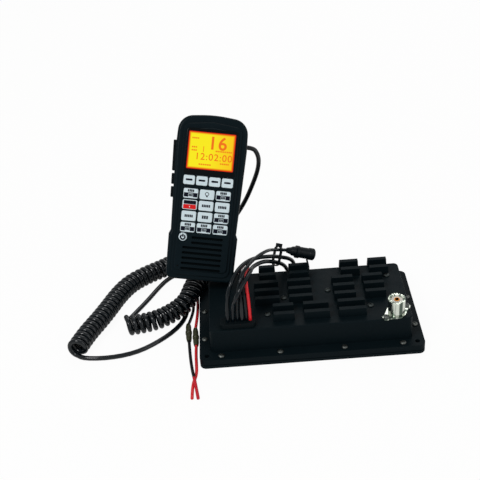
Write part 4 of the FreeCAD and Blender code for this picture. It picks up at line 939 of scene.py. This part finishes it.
@dataclass
class CurlyCord:
    """The handset's curly cord: a lead from the transceiver, then a helix to its end.

    Attributes:
        last: where the helix goes to meet the upper lead.
        swell: how much thicker the strand is in the helix.
        radius: from the axis to the middle of the strand.
        squeeze: least share of the pitch on the inside of a bend.
        per_turn: control points in each turn.
        look: points of the axis behind and ahead that give its heading.
        bend_look: the same for its curvature.
    """

    lead: Route
    axis: Route
    last: Route
    strand: float = 0.0046
    swell: float = 1.065
    radius: float = 0.0076
    pitch: float = 0.0057
    clearance: float = 0.00012
    squeeze: float = 0.4
    per_turn: int = 14
    trim_end: float = 0.002
    look: tuple[int, int] = (2, 3)
    bend_look: tuple[int, int] = (4, 5)
    length: float = 3.20

    def turns(self) -> list[Vector]:
        """The helix's control points, from the underside round the axis.

        Each facet of the control polygon is a little outside the smooth line, so its radius is
        larger, and on the inside of a bend the pitch opens so that the strands lie side by side.

        Returns:
            The points.
        """
        line = centre_line(self.axis)
        steps = [0.0]
        for before, after in zip(line, line[1:]):
            steps.append(steps[-1] + (after - before).length)
        reach = self.radius / math.cos(math.pi / self.per_turn)
        places = []
        travelled = 0.0
        angle = 0.0
        number = 0
        while travelled < steps[-1] - self.trim_end:
            while steps[number + 1] < travelled:
                number += 1
            share = (travelled - steps[number]) / (steps[number + 1] - steps[number])
            centre = line[number].lerp(line[number + 1], share)
            behind, ahead = self.around(line, number, self.look)
            heading = (line[ahead] - line[behind]).normalized()
            side = Vector((0.0, 0.0, 1.0)).cross(heading).normalized()
            up = heading.cross(side)
            places.append(centre + (side * math.sin(angle) - up * math.cos(angle)) * reach)
            inside = max(self.squeeze, 1 - self.radius * self.bend(line, number))
            tight = (self.strand * self.swell + self.clearance) / inside
            travelled += max(self.pitch, tight) / self.per_turn
            angle += 2 * math.pi / self.per_turn
        return places

    def around(self, line: list[Vector], number: int, look: tuple[int, int]) -> tuple[int, int]:
        """Numbers of the points some places behind and ahead, within the line."""
        return max(number - look[0], 0), min(number + look[1], len(line) - 1)

    def bend(self, line: list[Vector], number: int) -> float:
        """Measures the axis's curvature.

        Args:
            line: points of the axis.
            number: the number of the point where it is wanted.

        Returns:
            The curvature, in radians a metre.
        """
        low, high = self.around(line, number, self.bend_look)
        before = (line[low + 1] - line[low]).normalized()
        after = (line[high] - line[high - 1]).normalized()
        return before.angle(after) / max((line[high] - line[low]).length, 1e-6)

    def build(self) -> None:
        route = (*self.lead, *(tuple(place) for place in self.turns()), *self.last)
        cord = nurbs("handset_curly_cord", route, self.strand, "coil_jacket", rings=4)
        spline = cord.data.splines[0]
        spline.resolution_u = 3
        for point in spline.points[len(self.lead):]:
            point.radius = self.swell
        finish_piece(cord, Body.TRANSCEIVER.value, "black_cable",
                     ("handset_lead_lower", "handset_coil"))
        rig.cord(cord, exit=self.lead[0], length=self.length, diameter=self.strand,
                far_end="object", stiffness="medium", lay="loose")


@dataclass
class UpperLead:
    """The straight part of the handset's cord, from the gland down to the helix's end.

    It hangs from the handset, so it turns from one body's motion to the other's on its way.
    """

    route: Route
    strand: float = 0.0046
    length: float = 0.288

    def build(self) -> None:
        """Makes the lead as a mesh tube that bends between the two bodies."""
        data = curve_mesh(nurbs("upper_lead_line", self.route, self.strand, "coil_jacket"))
        tube = add_object("handset_upper_cord", data)
        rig.replaces(tube, "handset_lead_upper")
        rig.slot(tube, "black_cable")
        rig.blend(tube, Body.TRANSCEIVER.value, Body.HANDSET.value, start=(-0.06, 0.1, 0.03),
                 end=(-0.06, 0.1, 0.125))
        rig.cord(tube, exit=self.route[0], length=self.length, diameter=self.strand,
                far_end="object", stiffness="medium", lay="hanging",
                path=[tuple(place) for place in centre_line(self.route)])
        LOG.info("handset_upper_cord bends between the bodies")


def metres(*places: Point) -> Route:
    """A route in metres, from points in millimetres."""
    return tuple(tuple(round(share * MM, 7) for share in place) for place in places)


SPEAKER = metres(
    (-76.4, -39, 36.3), (-76.4, -39, 63), (-69.8, -30.3, 79.7), (-60.8, -12.6, 82.2),
    (-48.3, 6, 76.8), (-33.1, 19.9, 67.6), (-23.5, 36.6, 54.5), (-9, 48.6, 41.7), (-6.6, 61.1, 21),
    (5.4, 70.3, 3.1), (28.8, 71.8, 2.3), (52, 70.5, 2.3))
DATA = metres(
    (-71.7, -39, 36.3), (-71.7, -39, 54), (-66, -47.6, 75.2), (-52.7, -26.8, 84.2),
    (-50.1, -5.9, 75.6), (-39.2, 11.1, 68.7), (-28.8, 26, 56.6), (-18.7, 39.9, 42.5),
    (-14.5, 52.6, 25.4), (-11.1, 64.6, 8.5), (1.8, 74.2, 2.3), (23.3, 77.5, 2.3), (46, 76, 2.3))
ACCESSORY = metres(
    (-67.3, -39, 36.3), (-67.3, -39, 58.6), (-64.4, -38.2, 77.2), (-58.1, -26.9, 87.4),
    (-46.8, -6.9, 86.4), (-34.7, 12.4, 80), (-28.9, 30.5, 67.6), (-15, 41, 58.5))
LEAD_LOWER = metres(
    (-63.1, -39, 36.3), (-63.1, -39, 60.3), (-61.9, -25.5, 74), (-60.4, -5.9, 72.5),
    (-60.2, 9.6, 55.9), (-60.3, 33.2, 43.4), (-64.2, 52.1, 27.1), (-76.5, 68, 10.5),
    (-88, 72.6, 2.6), (-105.9, 70.3, 2.4), (-116.4, 59.5, 2.4), (-116.6, 40, 2.4),
    (-119.8, 15.5, 2.4), (-130.2, -2.6, 2.4), (-149, -19.9, 2.4), (-168.3, -31.5, 2.4),
    (-192.8, -35.9, 2.4), (-216, -34.5, 2.8))
COIL = metres(
    (-223, -28.5, 10.1), (-215.7, -8.1, 10.1), (-205.6, 11.2, 10.1), (-196.6, 30.9, 10.1),
    (-188.4, 51.1, 10.1), (-177.3, 70, 10.1), (-160.4, 83.5, 10.1), (-141.4, 94.2, 10.1),
    (-122.6, 108.4, 10.1), (-99.6, 103.4, 10.1), (-89.9, 82.5, 12.6), (-100.5, 63.2, 20.1),
    (-110.4, 45.4, 20.6), (-116.7, 25.6, 15), (-134.9, 13.5, 10.1), (-155.3, 3.2, 10.1),
    (-177.5, 1, 10.1))
COIL_END = metres((-177.4, 9.6, 15), (-177.2, 11.8, 8.8), (-176.4, 14, 6.6))
LEAD_UPPER = metres(
    (-63.6, 108.2, 140), (-41.6, 109.2, 139.9), (-35.2, 107.4, 129.5), (-36.4, 107, 115),
    (-43, 106.6, 97.5), (-52.3, 105.4, 77.5), (-66.3, 103.4, 57), (-83.4, 100.8, 41.1),
    (-99.4, 96.5, 25.8), (-114.3, 93.1, 11.9), (-127.7, 91.9, 2.5), (-139.3, 83.8, 2.5),
    (-148.9, 68.8, 2.5), (-158.1, 51.1, 2.5), (-168.2, 34, 2.5), (-175.2, 21.5, 3.2),
    (-176.4, 14, 6.6))
SLEEVED = metres(
    (-58.9, -39, 36.3), (-58.9, -39, 58.1), (-59.9, -34.8, 73.1), (-59.6, -21.4, 78.9),
    (-56.8, -4.3, 72.9), (-58.3, 13.8, 58.4), (-57.4, 35.1, 45.5), (-60.3, 52.5, 30.9),
    (-65, 61.2, 18.2), (-75, 66, 6.5), (-89.5, 66.4, 1.7), (-104.1, 65.9, 1.7),
    (-111.9, 57.6, 1.7), (-112.3, 43, 1.7), (-111.9, 24, 1.7), (-116.9, 4, 3.4))
SLEEVED_END = metres(
    (-115.9, -21, 3.4), (-115.2, -38, 1.7), (-113, -59.9, 1.7), (-110.7, -75.8, 5.9),
    (-108.7, -87.7, 1.7), (-107.3, -99, 1.7))
RED = metres(
    (-55.5, -39, 36.3), (-55.5, -39, 59.3), (-57, -35.6, 75.9), (-56.3, -22.5, 81.8),
    (-53.6, -3.5, 74.2), (-55.1, 18.4, 58.2), (-54, 41.5, 42.5), (-58.6, 55.6, 25),
    (-68.5, 61.6, 6.6), (-86.5, 62.4, 1.7), (-108.4, 62, 1.7), (-107.6, 40, 1.7),
    (-107.9, 18.9, 1.7), (-109.9, -3.5, 3.4))
RED_END = metres(
    (-109, -28.4, 3.4), (-109.4, -38.3, 1.7), (-108.9, -52.7, 1.7), (-108.6, -67.4, 1.7),
    (-112.7, -81, 1.7), (-112.8, -98.5, 1.7))


@dataclass
class Harness:
    """All the cables of the transceiver."""

    thick: float = 0.004
    thin: float = 0.0032
    power: float = 0.003

    def build(self) -> None:
        """Makes each cable with what is on its end."""
        Conductors("speaker_conductors", SPEAKER[-1], (0.0232, -0.0013, 0.0),
                   ("red_jacket", "jacket")).build()
        Conductors("data_conductors", DATA[-1], (0.0227, -0.0015, 0.0),
                   ("yellow_jacket", "white_jacket", "blue_jacket")).build()
        cables = (
            Cable("speaker_lead", SPEAKER, self.thick, 0.247, pieces=("speaker_conductors",)),
            Cable("data_lead", DATA, self.thick, 0.253, pieces=("data_conductors",)),
            Cable("accessory_lead", ACCESSORY, self.thin, 0.145, far_end="connector",
                  pieces=("accessory_connector", "connector_strap", "cable_tie")),
            Cable("sleeved_lead", SLEEVED, self.power, 0.264, far_end="fitting",
                  stiffness="limp", pieces=("fuse_holders",)),
            Cable("red_lead", RED, self.power, 0.272, "red_jacket", "red_cable", "fitting",
                  "limp", ("fuse_holders",)),
            Cable("sleeved_lead_end", SLEEVED_END, self.power, 0.079, "sleeved_jacket",
                  "red_cable", stiffness="limp"),
            Cable("red_lead_end", RED_END, self.power, 0.071, "red_jacket", "red_cable",
                  stiffness="limp"))
        for cable in cables:
            cable.build()
        CurlyCord(LEAD_LOWER, COIL, COIL_END).build()
        UpperLead(LEAD_UPPER).build()


# ---- key prints, in millimetres ----


class Ink(int, Enum):
    """A print's material slots."""

    DARK = 0
    RED = 1
    CAP = 2


PRINT_FINISHES = ("key_ink", "red_ink", "key_cap")
INK_THICK = 0.06


@dataclass(frozen=True)
class Bar:
    """A printed bar; one over another print stands an ink's thickness higher."""

    x: float
    y: float
    width: float
    height: float
    ink: Ink = Ink.DARK
    radius: float = 0.15
    level: float = 0.0
    most_round: float = 0.4

    def draw(self, mesh: BMesh, face: Matrix) -> None:
        """Adds the bar to a mesh, on a face."""
        radius = min(self.radius, self.width * self.most_round, self.height * self.most_round)
        add_plate(mesh, self.width, self.height, radius, INK_THICK,
                  face @ Matrix.Translation((self.x, self.y, self.level)), self.ink.value, 2)


@dataclass(frozen=True)
class Word:
    """A row of small bars, as generic as a word too small to read."""

    y: float
    width: float
    height: float
    letters: int
    fill: float = 0.8

    def draw(self, mesh: BMesh, face: Matrix) -> None:
        """Adds the row to a mesh.

        Args:
            mesh: the bmesh.
            face: the place of the face that is printed.
        """
        step = self.width / self.letters
        for number in range(self.letters):
            x = (number - (self.letters - 1) / 2) * step
            Bar(x, self.y, step * self.fill, self.height).draw(mesh, face)


@dataclass(frozen=True)
class Ring:
    """A printed ring of short bars, open at its top by an angle in degrees."""

    y: float
    radius: float
    width: float
    opening: float = 0.0
    count: int = 22
    overlap: float = 1.15

    def draw(self, mesh: BMesh, face: Matrix) -> None:
        """Adds the ring to a mesh.

        Args:
            mesh: the bmesh.
            face: the place of the face that is printed.
        """
        long = self.overlap * 2 * math.pi * self.radius / self.count
        for number in range(self.count):
            angle = 360 * (number + 0.5) / self.count
            if min(angle, 360 - angle) < self.opening / 2:
                continue
            spot = (Matrix.Translation((0.0, self.y, 0.0))
                    @ Matrix.Rotation(math.radians(angle), 4, "Z")
                    @ Matrix.Translation((0.0, self.radius, 0.0)))
            add_plate(mesh, long, self.width, 0.0, INK_THICK, face @ spot)


PRINTS: dict[Legend, tuple[Bar | Word | Ring, ...]] = {
    Legend.DASH: (Bar(0.0, 0.2, 6.4, 1.8, radius=0.6),),
    Legend.LAMP: (Ring(0.6, 1.6, 0.6), Bar(0.0, -1.7, 1.5, 1.2)),
    Legend.WORD: (Word(0.0, 8.2, 2.5, 5),),
    Legend.BOLD_WORD: (Word(0.0, 6.2, 3.1, 3),),
    Legend.WORD_OVER_BLOCK: (
        Word(2.6, 6.4, 2.3, 4), Bar(-4.35, -1.5, 4.2, 4.0), Bar(4.35, -1.5, 4.2, 4.0),
        Bar(0.0, 0.3, 4.8, 0.8), Word(-1.7, 4.0, 2.5, 3)),
    Legend.TWO_BANDS: (
        Bar(0.0, 2.15, 11.8, 3.5, radius=0.5), Bar(0.0, -2.0, 12.2, 4.2, Ink.RED, radius=0.6),
        Bar(0.0, -2.0, 0.8, 1.3, Ink.CAP, level=INK_THICK)),
    Legend.POWER: (Ring(-0.3, 2.1, 1.5, opening=80.0), Bar(0.0, 1.3, 1.3, 2.9)),
}

KEYPAD = (Legend.WORD_OVER_BLOCK, Legend.LAMP, Legend.WORD_OVER_BLOCK,
          Legend.TWO_BANDS, Legend.WORD, Legend.WORD,
          Legend.WORD, Legend.BOLD_WORD, Legend.WORD_OVER_BLOCK,
          Legend.WORD_OVER_BLOCK, Legend.WORD_OVER_BLOCK, Legend.WORD_OVER_BLOCK)


# ---- handset ----


@dataclass(frozen=True)
class Digits:
    """A line of digits on the display: its baseline's middle, its size and its spacing."""

    name: str
    text: str
    size: float
    x: float
    z: float
    spacing: float
    weight: float
    thick: float = 0.05


@dataclass(frozen=True)
class Frame:
    """An upright rectangle on the face: half its width, its foot, its top and its corners."""

    half: float
    foot: float
    top: float
    corner: float


DIGITS = (Digits("channel_digits", "16", 17.2, 5.6, 126.8, 1.12, 0.30),
          Digits("clock_digits", "12:02:00", 9.2, 2.8, 116.0, 1.13, 0.04))
# Small print on the display: x, z, width and letters; and a rule: x, z, width and height.
SMALL_PRINT = ((-15.8, 136.2, 7.0, 4), (-16.2, 127.6, 5.4, 3), (-16.2, 124.6, 5.4, 3),
               (12.0, 125.2, 16.0, 9), (13.6, 113.6, 9.0, 5), (-5.0, 111.6, 12.0, 6))
SMALL_PRINT_HEIGHT = 1.4
RULE = (-7.4, 126.2, 0.7, 5.4)
# The speaker cloth is narrower at the top, to clear the power key: width, height, x and z.
CLOTH = ((40.0, 27.0, 1.5, 22.5), (35.0, 8.0, 4.0, 40.0))


@dataclass
class Handset:
    """What is printed, glazed and lined on the handset; its moulded parts are the model's own.

    A depth is measured into the case from the plane of the face.
    """

    place: Point = (-102.1, 6.3, 53.9)
    turn: float = 2.7
    recline: float = 32.0
    lean: float = 11.2
    key_depth: float = -1.0
    rows: tuple[float, ...] = (83.2, 72.4, 61.6, 50.8)
    column: float = 15.55
    soft_level: float = 95.9
    soft_column: float = 12.2
    power_place: Pair = (-19.3, 41.3)
    window: Frame = Frame(24.35, 101.4, 145.4, 2.6)
    opening: Frame = Frame(22.4, 106.8, 142.5, 1.0)
    window_thick: float = 1.2
    window_bevel: float = 0.22
    panel_depth: float = 0.75
    panel_thick: float = 0.3
    panel_margin: float = 0.1
    digits_depth: float = 0.62
    marks_depth: float = 0.66
    cloth_depth: float = 2.36
    cloth_thick: float = 0.12
    cloth_corner: float = 0.8

    def frame(self) -> Matrix:
        """Finds the handset's place.

        Returns:
            The matrix for sizes in millimetres.
        """
        matrix = Matrix.Translation([share * MM for share in self.place])
        for angle, axis in ((self.turn, "Z"), (-self.recline, "X"), (self.lean, "Y")):
            matrix = matrix @ Matrix.Rotation(math.radians(angle), 4, axis)
        return matrix @ Matrix.Scale(MM, 4)

    def on_face(self, x: float, z: float, depth: float = 0.0) -> Matrix:
        """A flat drawing's place: its X to the right, its Y up, its Z out of the face."""
        place = self.frame() @ Matrix.Translation((x, depth, z))
        return place @ Matrix.Rotation(math.pi / 2, 4, "X")

    def print_key(self, key: str, x: float, z: float, legend: Legend) -> None:
        """Prints a key's cap as a piece that rides on the key.

        Args:
            key: the key's name.
            x: its middle across the face.
            z: its middle up the face.
            legend: what is printed on it.
        """
        mesh = bmesh.new()
        for mark in PRINTS[legend]:
            mark.draw(mesh, self.on_face(x, z, self.key_depth))
        finish_piece(new_object(f"{key}_print", mesh, PRINT_FINISHES), f"{key}_cap", "key_grey")

    def keypad(self) -> None:
        """Prints the soft keys, the twelve keys and the power key."""
        for number in range(4):
            self.print_key(f"soft_key_{number + 1}", (number - 1.5) * self.soft_column,
                           self.soft_level, Legend.DASH)
        for number, legend in enumerate(KEYPAD):
            self.print_key(f"key_{number + 1}", (number % 3 - 1) * self.column,
                           self.rows[number // 3], legend)
        self.print_key("power_key", *self.power_place, Legend.POWER)

    def glazing(self) -> None:
        """The window's printed border: a bevelled frame round the display's opening."""
        mesh = bmesh.new()
        for edge in (self.window, self.opening):
            sheet = rounded_sheet(edge.half * 2, edge.top - edge.foot, edge.corner, 6)
            bmesh.ops.delete(sheet, geom=sheet.faces[:], context="FACES_ONLY")
            merge(mesh, sheet, Matrix.Translation((0.0, (edge.top + edge.foot) / 2, 0.0)))
        bmesh.ops.bridge_loops(mesh, edges=mesh.edges[:])
        thicken(mesh, (0.0, 0.0, -self.window_thick))
        rims = [edge for edge in mesh.edges if edge.is_manifold and edge.calc_face_angle(0.0) > 1.0
                and all(abs(vert.co.z) < 1e-6 for vert in edge.verts)]
        bmesh.ops.bevel(mesh, geom=rims, offset=self.window_bevel, offset_type="OFFSET",
                        segments=2, profile=0.5, affect="EDGES", material=-1)
        bmesh.ops.transform(mesh, matrix=self.on_face(0.0, 0.0), verts=mesh.verts[:])
        smooth(mesh)
        finish_piece(new_object("window_border", mesh, ("window",)), Body.HANDSET.value, "window",
                     ("display_window",))

    def panel(self) -> None:
        """The lit panel behind the opening, with a UV map for its glow."""
        edge = self.opening
        mesh = bmesh.new()
        mesh.loops.layers.uv.new("panel")
        sheet = bmesh.ops.create_grid(mesh, x_segments=12, y_segments=10, size=0.5,
                                      calc_uvs=True)["verts"]
        size = (2 * (edge.half + self.panel_margin), edge.top - edge.foot + 2 * self.panel_margin)
        bmesh.ops.scale(mesh, vec=(*size, 1.0), verts=sheet)
        thicken(mesh, (0.0, 0.0, -self.panel_thick))
        place = self.on_face(0.0, (edge.top + edge.foot) / 2, self.panel_depth)
        bmesh.ops.transform(mesh, matrix=place, verts=mesh.verts[:])
        finish_piece(new_object("display_panel", mesh, ("lcd",)), Body.HANDSET.value, "display")

    def digits(self) -> None:
        """The channel number, a clock and small marks, a hair in front of the panel."""
        for line in DIGITS:
            text = bpy.data.curves.new(line.name, "FONT")
            text.body = line.text
            text.size = line.size
            text.extrude = line.thick
            text.offset = line.weight
            text.align_x = "CENTER"
            text.space_character = line.spacing
            data = curve_mesh(add_object(f"{line.name}_text", text))
            data.transform(self.on_face(line.x, line.z, self.digits_depth))
            data.materials.clear()
            data.materials.append(Palette.get("lcd_ink"))
            finish_piece(add_object(line.name, data), Body.HANDSET.value, "display")
        mesh = bmesh.new()
        for x, z, width, letters in SMALL_PRINT:
            Word(0.0, width, SMALL_PRINT_HEIGHT, letters).draw(
                mesh, self.on_face(x, z, self.marks_depth))
        Bar(0.0, 0.0, *RULE[2:]).draw(mesh, self.on_face(*RULE[:2], self.marks_depth))
        finish_piece(new_object("display_marks", mesh, ("lcd_faint",)), Body.HANDSET.value,
                     "display")

    def cloth(self) -> None:
        """Woven cloth behind the speaker slots."""
        mesh = bmesh.new()
        for width, height, x, z in CLOTH:
            add_plate(mesh, width, height, self.cloth_corner, self.cloth_thick,
                      self.on_face(x, z, self.cloth_depth))
        finish_piece(new_object("speaker_cloth", mesh, ("cloth",)), Body.HANDSET.value,
                     "black_plastic")

    def build(self) -> None:
        """Makes the handset's own pieces."""
        self.glazing()
        self.panel()
        self.digits()
        self.keypad()
        self.cloth()


# ---- the model's own parts ----


class Carried:
    """Finishes for the parts whose modelled shape is shown as it is."""

    finishes: dict[str, tuple[str, ...]] = {
        "plate_paint": ("mounting_plate",),
        "cast_paint": ("chassis",),
        "rubber": ("panel_gasket", "cable_grommet", "case_seal", "cord_gland", "keypad_mat",
                   "ptt_key", "volume_up_key", "volume_down_key"),
        "zinc": ("flange_screws", "case_screws", "antenna_screws", "hanger_stud"),
        "dark_zinc": ("deck_screws",),
        "board": ("main_board", "control_board"),
        "tin_shield": ("rf_shield",),
        "component": ("power_amplifier", "speaker", "microphone"),
        "nickel": ("antenna_socket",),
        "ptfe": ("antenna_insulator",),
        "gold": ("antenna_contact",),
        "case_plastic": ("front_case", "rear_case"),
        "smooth_plastic": ("accessory_connector", "connector_strap", "cable_tie"),
        "fuse_plastic": ("fuse_holders",),
        "display_frame": ("display_module",),
        "key_cap": ("power_key", *(f"key_{n}" for n in range(1, 13)),
                    *(f"soft_key_{n}" for n in range(1, 5))),
    }

    def build(self) -> None:
        """Gives each shown part its finish, on its object's own slots."""
        for finish, nodes in self.finishes.items():
            material = Palette.get(finish)
            for node in nodes:
                part = frame["nodes"][node]
                if not part.material_slots:
                    part.data.materials.append(material)
                for slot in part.material_slots:
                    slot.material = material
                LOG.info("%s is %s", node, material.name)


def write_sizes() -> None:
    """Writes the model's box and the box of what is shown."""
    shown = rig.bounds()
    sizes = {"cad": [list(corner) for corner in CAD_BOX], "visual": [list(corner) for corner in shown]}
    with open("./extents.json", "w", encoding="utf-8") as out:
        json.dump(sizes, out)


def main() -> None:
    """Makes the camera and the cords first, then the rest of the looks."""
    logging.basicConfig(level=logging.INFO, format="%(name)s: %(message)s")
    Studio().build()
    Harness().build()
    Handset().build()
    Carried().build()
    write_sizes()


if __name__ == "__main__":
    main()
